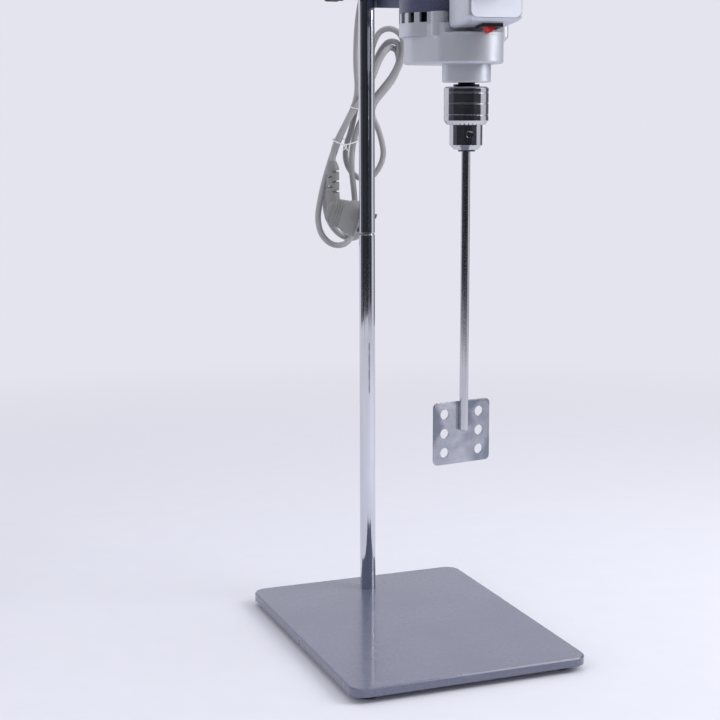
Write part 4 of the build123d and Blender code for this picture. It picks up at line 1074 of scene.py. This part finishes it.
@dataclass
class GearHead(Assembly):
    """Gear housing, flange, gears and bearings."""

    centre: Point = (20.0, -78.0, 0.0)
    grub_radius: float = 1.7
    grub_height: float = 566.5
    grub_angle: float = -12.0
    lobe_radius: float = 32.2
    plan: dict[str, str] = field(default_factory=lambda: {
        "gear_housing": "turned_alloy",
        "motor_flange": "turned_alloy",
        "flange_screws": "zinc",
        "spindle_bearings": "bearing_steel",
        "motor_bearings": "bearing_steel",
        "output_gear": "tool_steel",
        "pinion": "tool_steel",
    })

    def build(self, frame: dict, finishes: Finishes) -> None:
        """Dress the gear head and add its grub screw.

        Args:
            frame: The loaded frame.
            finishes: All the finishes.
        """
        super().build(frame, finishes)
        angle = math.radians(self.grub_angle)
        outward = Vector((math.cos(angle), math.sin(angle), 0))
        seat = Vector(self.centre) * MM + outward * (self.lobe_radius - 0.5) * MM
        seat.z = self.grub_height * MM
        radius = self.grub_radius * MM
        profile = [(radius, -0.0015), (radius, 0.0006), (radius * 0.86, 0.0009), (radius * 0.5, 0.0009),
                   (radius * 0.46, 0.0001)]
        screw = Shaper.keep(
            "housing_grub_screw",
            Shaper.turned(profile, Shaper.frame(seat, outward), 24),
            finishes["black_plastic"],
        )
        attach(screw, "head")
        LOG.info("made %s", screw.name)


@dataclass
class Motor(Assembly):
    """Commutator motor under its cover."""

    plan: dict[str, str] = field(default_factory=lambda: {
        "motor_cover": "head_paint",
        "cover_screws": "zinc",
        "stator_core": "laminations",
        "armature": "laminations",
        "field_coils": "copper_winding",
        "rotor_winding": "copper_winding",
        "rotor_shaft": "tool_steel",
        "commutator": "brass",
        "brush_holders": "brass",
        "carbon_brushes": "carbon",
        "cooling_fan": "fan_plastic",
        "tie_screws": "zinc",
        "end_bridge": "turned_alloy",
    })


class Segment(Enum):
    """Bars of a seven-segment digit: centre across, centre up, upright."""

    TOP = (0.0, 1.0, False)
    UPPER_RIGHT = (0.5, 0.5, True)
    LOWER_RIGHT = (0.5, -0.5, True)
    BOTTOM = (0.0, -1.0, False)
    LOWER_LEFT = (-0.5, -0.5, True)
    UPPER_LEFT = (-0.5, 0.5, True)
    MIDDLE = (0.0, 0.0, False)


@dataclass
class ControlBox(Assembly):
    """Speed control box with display, dial and switch."""

    centre_x: float = 20.0
    front_y: float = -137.0
    panel_z: float = 635.5
    panel_width: float = 46.8
    panel_height: float = 104.8
    panel_corner: float = 6.0
    dial_z: float = 613.9
    dial_radius: float = 13.0
    dial_depth: float = 15.4
    display_z: float = 663.9
    digit_width: float = 4.2
    digit_half_height: float = 4.4
    digit_pitch: float = 7.4
    bar_half_width: float = 0.36
    ink_thick: float = 0.06
    seal_width: float = 0.7
    seal_thick: float = 0.14
    first_angle: float = 240.0
    sweep: float = 300.0
    numbers: int = 10
    number_reach: float = 4.6
    number_size: float = 3.4
    tick_width: float = 0.24
    pointer_width: float = 1.24
    pointer_thick: float = 0.35
    plan: dict[str, str] = field(default_factory=lambda: {
        "control_box": "box_alloy",
        "front_panel": "panel_paint",
        "display_window": "display_glass",
        "circuit_board": "board_green",
        "speed_dial": "dial_plastic",
        "switch_bezel": "black_plastic",
        "switch_rocker": "rocker_red",
    })

    def place(self, x: float, z: float, proud: float = 0.0) -> Matrix:
        """Give the frame of a marking on the front: X right, Y up, Z outward.

        Args:
            x: Millimetres right of the box's middle.
            z: Height in millimetres.
            proud: Millimetres in front of the panel.

        Returns:
            The matrix.
        """
        origin = Vector((self.centre_x + x, self.front_y - proud, z)) * MM
        return Matrix.Translation(origin) @ Matrix.Rotation(math.radians(90), 4, "X")

    def build(self, frame: dict, finishes: Finishes) -> None:
        """Dress the box and add its seal, scale, digits and pointer.

        Args:
            frame: The loaded frame.
            finishes: All the finishes.
        """
        super().build(frame, finishes)
        self._seal(finishes)
        self._scale(finishes)
        self._digits(finishes)
        self._pointer(finishes)

    def _seal(self, finishes: Finishes) -> None:
        """Add the dark seal round the front panel.

        Args:
            finishes: All the finishes.
        """
        outline = rounded_rectangle(self.panel_width + 0.4, self.panel_height + 0.4, self.panel_corner, 8)
        placing = self.place(0.0, self.panel_z, -0.02)
        corners = [(x * MM, y * MM) for x, y in outline]
        mesh = Shaper.ring(corners, self.seal_width * MM, self.seal_thick * MM, placing)
        seal = Shaper.keep("panel_seal", mesh, finishes["ink_dark"])
        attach(seal, "head")
        LOG.info("made %s", seal.name)

    def _letter(self, text: str, size: float, placing: Matrix, name: str,
                material: bpy.types.Material) -> bpy.types.Object:
        """Make flat raised lettering.

        Args:
            text: The characters.
            size: Height in millimetres.
            placing: Where the middle of the text goes.
            name: Name of the piece.
            material: Its finish.

        Returns:
            The object.
        """
        curve = bpy.data.curves.new(name + "_curve", "FONT")
        curve.body = text
        curve.size = size * MM
        curve.extrude = 0.00003
        curve.align_x = "CENTER"
        curve.align_y = "CENTER"
        data = mesh_from(name, curve)
        data.transform(placing)
        data.name = name
        data.materials.clear()
        data.materials.append(material)
        return add_object(name, data)

    def _scale(self, finishes: Finishes) -> None:
        """Add ticks and numbers round the dial.

        Args:
            finishes: All the finishes.
        """
        marks = []
        for index in range(self.numbers * 2 + 1):
            angle = math.radians(self.first_angle - self.sweep * index / (self.numbers * 2))
            long = index % 2 == 0
            reach = self.dial_radius + (2.0 if long else 1.6)
            length = 1.8 if long else 1.0
            outline = rectangle(length * MM, self.tick_width * MM)
            placing = self.place(0.0, self.dial_z, -0.02) @ Matrix.Rotation(angle, 4, "Z") \
                @ Matrix.Translation((reach * MM, 0.0, 0.0))
            marks.append(Shaper.plate(outline, self.ink_thick * MM, placing))
        ticks = Shaper.keep("dial_ticks", Shaper.joined(marks), finishes["ink_dark"])
        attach(ticks, "head")
        for index in range(0, self.numbers + 1, 2):
            angle = math.radians(self.first_angle - self.sweep * index / self.numbers)
            reach = self.dial_radius + self.number_reach
            placing = self.place(reach * math.cos(angle), self.dial_z + reach * math.sin(angle), 0.0)
            number = self._letter(str(index), self.number_size, placing, f"dial_number_{index}",
                                  finishes["ink_dark"])
            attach(number, "head")
        LOG.info("made the dial scale")

    def _digits(self, finishes: Finishes) -> None:
        """Add four zero digits behind the display window's face.

        Args:
            finishes: All the finishes.
        """
        bars = []
        lit = [segment for segment in Segment if segment is not Segment.MIDDLE]
        for digit in range(4):
            middle = (digit - 1.5) * self.digit_pitch
            for segment in lit:
                across, up, upright = segment.value
                long = self.digit_half_height * 0.8 if upright else self.digit_width * 0.8
                half = long / 2 * MM
                thin = self.bar_half_width * MM
                outline = [(-half, -thin), (half, -thin), (half + thin, 0), (half, thin), (-half, thin),
                           (-half - thin, 0)]
                placing = self.place(middle + across * self.digit_width,
                                     self.display_z + up * self.digit_half_height, -0.41)
                if upright:
                    placing = placing @ Matrix.Rotation(math.radians(90), 4, "Z")
                bars.append(Shaper.plate(outline, self.ink_thick * MM, placing))
        digits = Shaper.keep("display_digits", Shaper.joined(bars), finishes["digits"])
        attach(digits, "head")
        LOG.info("made %s", digits.name)

    def _pointer(self, finishes: Finishes) -> None:
        """Fill the dial's pointer groove with white.

        Args:
            finishes: All the finishes.
        """
        placing = self.place(0.0, self.dial_z + self.dial_radius * 0.55, self.dial_depth - 0.55)
        outline = rectangle(self.pointer_width * MM, self.dial_radius * 0.58 * MM)
        mesh = Shaper.plate(outline, self.pointer_thick * MM, placing)
        pointer = Shaper.keep("dial_pointer", mesh, finishes["ink_white"])
        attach(pointer, "dial")
        LOG.info("made %s", pointer.name)


@dataclass
class Chuck(Assembly):
    """Spindle and keyed three-jaw chuck."""

    plan: dict[str, str] = field(default_factory=lambda: {
        "spindle": "black_oxide",
        "chuck_body": "chuck_chrome",
        "chuck_sleeve": "chuck_chrome",
        "chuck_nut": "tool_steel",
        "chuck_jaw_1": "tool_steel",
        "chuck_jaw_2": "tool_steel",
        "chuck_jaw_3": "tool_steel",
    })


@dataclass
class StirringTool(Assembly):
    """Stirring shaft and perforated paddle."""

    plan: dict[str, str] = field(default_factory=lambda: {
        "stirring_shaft": "stainless",
        "paddle": "paddle_steel",
    })


@dataclass
class MainsCord(Assembly):
    """Mains cord, its tied hank and its plug."""

    radius: float = 3.0
    start: Point = (20.0, 25.8, 664.0)
    route: tuple[Point, ...] = (
        (20.0, 40.0, 664.0), (21.5, 70.0, 666.0), (22.5, 100.0, 665.5), (19.0, 126.0, 656.0),
        (12.0, 144.0, 634.0), (7.0, 152.0, 606.0), (4.0, 152.0, 577.0), (3.5, 152.0, 548.0),
    )
    first_turn: tuple[Point, ...] = (
        (5.5, 151.5, 527.0), (2.0, 151.0, 510.0), (-5.5, 153.0, 495.0), (-12.5, 156.0, 480.0),
        (-18.0, 159.0, 465.0), (-23.5, 161.0, 447.5), (-29.0, 161.0, 429.5), (-33.5, 160.5, 411.5),
        (-36.0, 160.5, 395.0), (-32.0, 161.0, 378.5), (-20.0, 161.5, 367.5), (-5.0, 163.0, 367.0),
        (6.0, 166.5, 378.0), (9.5, 169.0, 395.5), (8.0, 168.5, 413.0), (5.0, 165.0, 429.5),
        (1.5, 161.0, 446.0), (1.0, 157.5, 463.5), (3.5, 154.5, 480.0), (9.0, 152.5, 495.0),
        (18.5, 151.0, 509.0), (30.0, 150.0, 521.5), (40.5, 148.5, 534.5), (49.5, 147.5, 548.5),
        (55.5, 150.0, 565.0), (55.5, 156.0, 580.5), (45.5, 162.5, 588.0), (34.5, 168.0, 584.0),
        (28.0, 170.0, 568.5), (24.5, 168.0, 551.0), (17.5, 163.5, 534.0), (9.5, 159.5, 519.0),
    )
    second_turn: tuple[Point, ...] = (
        (3.5, 157.5, 507.0), (-3.0, 159.5, 494.0), (-9.0, 163.0, 480.0), (-14.0, 166.5, 464.5),
        (-19.5, 168.5, 446.5), (-24.0, 169.0, 428.0), (-25.0, 169.5, 410.5), (-21.0, 171.0, 394.0),
        (-11.5, 172.5, 380.0), (2.5, 173.0, 372.0), (16.0, 172.0, 375.5), (23.5, 169.0, 390.5),
        (23.5, 164.0, 409.5), (20.0, 158.5, 429.5), (14.5, 154.5, 449.5), (13.0, 155.5, 467.5),
        (13.0, 158.5, 483.5), (15.5, 159.5, 500.0), (22.0, 158.0, 513.0), (33.5, 156.5, 526.0),
        (43.5, 155.0, 538.0), (51.5, 154.5, 552.0), (53.0, 156.5, 564.0), (53.0, 160.5, 572.5),
        (49.5, 166.0, 574.5), (45.5, 171.5, 573.5), (40.5, 175.0, 567.0), (35.0, 176.5, 556.5),
        (26.5, 172.5, 538.0), (17.0, 168.5, 522.0),
    )
    third_turn: tuple[Point, ...] = (
        (8.0, 165.0, 508.0), (6.0, 166.5, 495.0), (3.5, 168.0, 482.5), (-0.5, 169.5, 470.5),
        (-2.0, 170.0, 457.0), (2.0, 169.5, 444.0), (12.5, 168.5, 434.5), (25.5, 167.5, 435.0),
        (34.5, 166.5, 445.0), (39.5, 165.5, 459.0), (36.5, 165.0, 474.0), (32.0, 165.0, 487.5),
        (25.0, 165.0, 500.5), (28.5, 164.5, 512.5), (38.5, 164.0, 523.0), (49.0, 163.5, 535.5),
        (55.0, 165.0, 547.0), (55.5, 164.5, 557.0), (53.5, 164.5, 564.5), (48.5, 164.0, 567.5),
        (43.5, 160.5, 568.0), (36.5, 156.5, 563.5), (29.5, 154.5, 554.0), (21.5, 150.5, 538.0),
        (13.0, 147.0, 524.0), (3.0, 144.5, 511.0), (-7.0, 144.5, 497.0), (-15.5, 145.0, 483.0),
        (-21.0, 146.5, 471.0), (-23.5, 147.5, 461.5), (-23.5, 148.0, 454.5),
    )
    real_length: float = 1.62
    face: Point = (2.0, 136.0, 394.0)
    axis: Point = (0.80, -0.50, -0.33)
    plug_radius: float = 18.0
    plug_back: float = 12.6
    plug_length: float = 36.0
    grip_end: float = 16.5
    neck_setback: float = 30.0
    neck_top: Point = (-23.5, 148.0, 454.5)
    neck_radius: float = 6.4
    slot_pitch: float = 5.1
    wire_radius: float = 0.55
    upper_tie: tuple[Point, ...] = (
        (-3.5, 150.0, 509.0), (-5.0, 141.5, 507.5), (-1.0, 140.0, 506.0), (6.0, 142.0, 506.5),
        (14.0, 145.5, 507.5), (21.5, 151.0, 508.5), (27.5, 160.0, 509.0), (27.0, 168.0, 509.5),
        (19.5, 170.5, 509.5), (9.5, 171.0, 509.5), (3.0, 166.0, 509.5), (-1.0, 158.0, 509.5),
    )
    lower_tie: tuple[Point, ...] = (
        (-23.0, 149.0, 475.5), (-24.0, 142.0, 474.5), (-20.0, 140.5, 472.5), (-13.0, 141.5, 470.5),
        (-5.0, 147.0, 471.0), (2.5, 151.0, 473.0), (9.0, 157.0, 474.0), (11.0, 167.0, 475.0),
        (7.5, 175.0, 475.5), (-2.0, 175.5, 475.5), (-12.5, 170.0, 475.5), (-20.0, 160.0, 476.0),
    )
    lower_tails: tuple[tuple[Point, ...], ...] = (
        ((-12.0, 140.5, 471.0), (-11.0, 140.0, 468.5), (-13.5, 139.5, 466.5), (-15.5, 140.0, 465.0)),
        ((-13.5, 140.5, 470.5), (-14.0, 139.5, 468.5), (-11.5, 140.0, 466.5), (-9.0, 140.5, 464.0)),
    )
    plan: dict[str, str] = field(default_factory=lambda: {
        "cord_gland": "black_rubber",
        "plug_pins": "tool_steel",
    })

    def build(self, frame: dict, finishes: Finishes) -> None:
        """Make the cord and what is on it.

        Args:
            frame: The loaded frame.
            finishes: All the finishes.
        """
        super().build(frame, finishes)
        cord = self._line(finishes)
        plug = self._plug(finishes)
        neck = self._neck(finishes)
        ties = self._ties(finishes)
        LOG.info("made the cord, its plug and its ties")

    def _line(self, finishes: Finishes) -> bpy.types.Object:
        """Make the cord as one smooth spline.

        Args:
            finishes: All the finishes.

        Returns:
            The curve object.
        """
        points = [self.start, *self.route, *self.first_turn, *self.second_turn, *self.third_turn]
        curve = tube_curve("mains_cord", self.radius * MM, 5, 6)
        add_line(curve, points)
        curve.materials.append(finishes["cord_sheath"])
        cord = add_object("mains_cord", curve)
        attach(cord, "head")
        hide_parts("power_cord", "cord_hank")
        return cord

    def _plug(self, finishes: Finishes) -> bpy.types.Object:
        """Make the plug's ribbed body.

        Args:
            finishes: All the finishes.

        Returns:
            The object.
        """
        along = Vector(self.axis).normalized()
        face = Vector(self.face) * MM
        rim, back, length, grip = self.plug_radius, self.plug_back, self.plug_length, self.grip_end
        heights = [(0.4, -length), (back - 5.0, -length + 0.1), (back - 2.6, -length + 0.7),
                   (back - 1.0, -length + 2.0), (back, -length + 3.8)]
        steps = 44
        for step in range(steps + 1):
            share = step / steps
            heights.append((back + (rim - 2.6 - back) * share, -length + 4.2 + share * (length - grip - 4.6)))
        heights += [(rim - 2.2, -grip + 0.2), (rim - 1.2, -grip + 1.6), (rim - 0.35, -grip + 4.2),
                    (rim, -grip + 5.6), (rim, -0.9), (rim - 0.4, -0.3), (rim - 1.1, 0.0),
                    (rim - 2.4, 0.0), (rim - 2.9, -0.5), (rim - 3.4, 0.0), (0.4, 0.0)]
        profile = [(radius * MM, height * MM) for radius, height in heights]
        low, high = (-length + 5.0) * MM, (-grip - 1.2) * MM

        def grooves(angle: float, height: float) -> float:
            if not low < height < high:
                return 1.0
            wave = math.cos((height - low) * math.tau / 0.0026)
            return 1.0 - 0.05 * max(0.0, min(1.0, 0.5 - 1.4 * wave)) * (abs(math.cos(angle)) < 0.93)

        plug = Shaper.keep(
            "plug_shell",
            Shaper.turned(profile, Shaper.frame(face, along), 96, grooves),
            finishes["plug_rubber"],
            50.0,
        )
        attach(plug, "head")
        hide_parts("plug_body")
        return plug

    def _neck(self, finishes: Finishes) -> bpy.types.Object:
        """Make the plug's neck with its staggered slots.

        Args:
            finishes: All the finishes.

        Returns:
            The object.
        """
        along = Vector(self.axis).normalized()
        root = (Vector(self.face) - along * self.neck_setback) * MM
        top = Vector(self.neck_top) * MM
        length = (top - root).length
        wide, narrow = self.neck_radius * MM, self.radius * MM + 0.0006
        first = 0.019
        slots = [first + self.slot_pitch * MM * index for index in range(5)]
        profile = [(wide + 0.0014, 0.0), (wide + 0.0009, 0.008), (wide + 0.0002, 0.014)]
        for slot in slots:
            profile += [(wide, slot - 0.0002), (wide, slot), (wide, slot + 0.0018), (wide, slot + 0.0020)]
        profile += [(wide, slots[-1] + 0.0040), (wide - 0.0003, slots[-1] + 0.0052),
                    (narrow + 0.0006, length - 0.0016), (narrow, length - 0.0004), (narrow - 0.0005, length)]

        def slotted(angle: float, height: float) -> float:
            for index, slot in enumerate(slots):
                inside = slot - 0.00005 < height < slot + 0.00185
                left = math.sin(angle) > -0.1
                if inside and left == (index % 2 == 0):
                    return 0.56 if abs(math.sin(angle) + 0.1) > 0.25 else 0.8
            return 1.0

        neck = Shaper.keep(
            "plug_neck",
            Shaper.turned(profile, Shaper.frame(root, top - root, Vector((-0.36, -0.93, 0))), 48, slotted),
            finishes["plug_rubber"],
            40.0,
        )
        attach(neck, "head")
        return neck

    def _ties(self, finishes: Finishes) -> bpy.types.Object:
        """Make the two wire ties with their twisted ends.

        Args:
            finishes: All the finishes.

        Returns:
            The object.
        """
        lines = [self.upper_tie, self.lower_tie, *self.lower_tails]
        closed = [True, True, *(False for _ in self.lower_tails)]
        ties = Shaper.wire("hank_ties", lines, self.wire_radius * MM, finishes["tie_wire"], closed)
        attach(ties, "head")
        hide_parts("cord_ties")
        return ties


# ------------------------------------------------------------------ studio
@dataclass
class FrontCamera:
    """Camera that looks at the stand from the front left."""

    place: Point = (-0.5590, -1.33165, 0.51616)
    yaw: float = 20.878
    pitch: float = 9.596
    roll: float = -0.185
    lens: float = 77.25

    def build(self) -> None:
        """Add the camera."""
        data = bpy.data.cameras.new("camera")
        data.lens = self.lens
        data.sensor_width = 36.0
        data.clip_start = 0.05
        camera = add_object("camera", data)
        turn = Matrix.Rotation(math.radians(-self.yaw), 4, "Z") \
            @ Matrix.Rotation(math.radians(90.0 - self.pitch), 4, "X") \
            @ Matrix.Rotation(math.radians(self.roll), 4, "Z")
        camera.matrix_world = Matrix.Translation(self.place) @ turn
        bpy.context.scene.camera = camera


@dataclass
class Studio:
    """Pale floor, soft lamps and a plain pale world."""

    backdrop: Colour = linear(228, 228, 238)
    fill: float = 0.62
    floor_size: float = 8.0
    lamps: tuple[tuple[str, Point, float, float], ...] = (
        ("key", (1.15, -0.75, 1.35), 0.9, 13.0),
        ("left", (-1.6, -0.5, 1.1), 1.1, 6.0),
        ("top", (0.1, 0.3, 2.1), 1.4, 8.0),
        ("side", (1.62, -0.8, 0.9), 0.42, 5.0),
    )
    unmirrored_lamp: str = "left"
    target: Point = (0.02, 0.0, 0.4)
    screen_radius: float = 2.05
    screen_height: float = 2.6
    panels: tuple[tuple[float, float, Colour], ...] = (
        (-215.0, 34.0, linear(88, 90, 98)),
        (-181.0, 56.0, linear(52, 54, 60)),
        (-125.0, 50.0, linear(42, 44, 50)),
        (-75.0, 38.0, linear(66, 68, 76)),
        (2.0, 38.0, linear(108, 110, 120)),
    )

    def build(self) -> None:
        """Add the floor, the screen, the lamps and the world."""
        self._world()
        self._floor()
        self._screen()
        for name, place, size, power in self.lamps:
            data = bpy.data.lights.new(name, "AREA")
            data.shape = "SQUARE"
            data.size = size
            data.energy = power
            lamp = add_object(name, data)
            lamp.location = place
            lamp.visible_glossy = name != self.unmirrored_lamp
            aim = Vector(self.target) - Vector(place)
            lamp.rotation_euler = aim.to_track_quat("-Z", "Y").to_euler()
        bpy.context.scene.view_settings.view_transform = "Standard"
        LOG.info("made the studio")

    def _seen(self, tree: bpy.types.NodeTree) -> bpy.types.NodeSocket:
        """Mark the rays that show the backdrop.

        Args:
            tree: Node tree to add to.

        Returns:
            1 for camera, glossy and transmission rays.
        """
        path = tree.nodes.new("ShaderNodeLightPath")
        total = path.outputs["Is Camera Ray"]
        for key in ("Is Glossy Ray", "Is Transmission Ray"):
            node = tree.nodes.new("ShaderNodeMath")
            node.operation = "MAXIMUM"
            tree.links.new(total, node.inputs[0])
            tree.links.new(path.outputs[key], node.inputs[1])
            total = node.outputs[0]
        return total

    def _world(self) -> None:
        """Build the world."""
        world = bpy.data.worlds.new("studio")
        world.use_nodes = True
        bpy.context.scene.world = world
        tree = world.node_tree
        tree.nodes.clear()
        output = tree.nodes.new("ShaderNodeOutputWorld")
        light = tree.nodes.new("ShaderNodeBackground")
        light.inputs["Color"].default_value = (0.93, 0.94, 1.0, 1.0)
        light.inputs["Strength"].default_value = self.fill
        seen = tree.nodes.new("ShaderNodeBackground")
        seen.inputs["Color"].default_value = (*self.backdrop, 1.0)
        seen.inputs["Strength"].default_value = 1.0
        mix = tree.nodes.new("ShaderNodeMixShader")
        tree.links.new(self._seen(tree), mix.inputs[0])
        tree.links.new(light.outputs[0], mix.inputs[1])
        tree.links.new(seen.outputs[0], mix.inputs[2])
        tree.links.new(mix.outputs[0], output.inputs["Surface"])

    def _floor(self) -> None:
        """Build the floor, which fades into the backdrop far away."""
        mesh = bmesh.new()
        bmesh.ops.create_circle(mesh, cap_ends=True, segments=96, radius=self.floor_size)
        bmesh.ops.translate(mesh, verts=mesh.verts[:], vec=(0, 0, -0.0002))
        graph = Graph("floor")
        tone = graph.noise(graph.place(), 30.0, 3.0)
        diffuse = graph.add("ShaderNodeBsdfDiffuse")
        graph.link(graph.mixed(tone, linear(226, 226, 235), linear(230, 230, 239)), diffuse.inputs["Color"])
        glow = graph.add("ShaderNodeEmission")
        glow.inputs["Color"].default_value = (*self.backdrop, 1.0)
        distance = graph.add("ShaderNodeVectorMath", operation="LENGTH")
        graph.link(graph.place(), distance.inputs[0])
        far = graph.spread(distance.outputs["Value"], 0.45, 1.6)
        mix = graph.add("ShaderNodeMixShader")
        graph.link(far, mix.inputs[0])
        graph.link(diffuse.outputs[0], mix.inputs[1])
        graph.link(glow.outputs[0], mix.inputs[2])
        graph.link(mix.outputs[0], graph.output.inputs["Surface"])
        floor = Shaper.keep("floor", mesh, graph.material)

    def _screen(self) -> None:
        """Add the dark round screen panels that polished metal mirrors."""
        reach = self.screen_radius
        for index, (start, sweep, tone) in enumerate(self.panels, 1):
            mesh = bmesh.new()
            first = math.radians(start)
            post = [mesh.verts.new((reach * math.cos(first), reach * math.sin(first), height))
                    for height in (-0.01, self.screen_height)]
            edge = mesh.edges.new(post)
            bmesh.ops.spin(mesh, geom=[*post, edge], cent=(0, 0, 0), axis=(0, 0, 1), steps=32,
                           angle=math.radians(sweep))
            graph = Graph(f"dark_screen_{index}")
            glow = graph.add("ShaderNodeEmission")
            graph.link(graph.mixed(graph.noise(graph.place(), 1.5, 2.0),
                                   tuple(value * 0.85 for value in tone), tone),
                       glow.inputs["Color"])
            graph.link(glow.outputs[0], graph.output.inputs["Surface"])
            screen = Shaper.keep(f"dark_screen_{index}", mesh, graph.material)
            screen.visible_camera = False
            screen.visible_diffuse = False
            screen.visible_transmission = False
            screen.visible_shadow = False


def main() -> None:
    """Build the whole scene in order."""
    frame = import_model()
    finishes = Finishes()
    FrontCamera().build()
    MainsCord().build(frame, finishes)
    for assembly in (Stand(), ColumnClamp(), GearHead(), Motor(), ControlBox(), Chuck(), StirringTool()):
        assembly.build(frame, finishes)
        LOG.info("built %s", type(assembly).__name__)
    Studio().build()


if __name__ == "__main__":
    main()
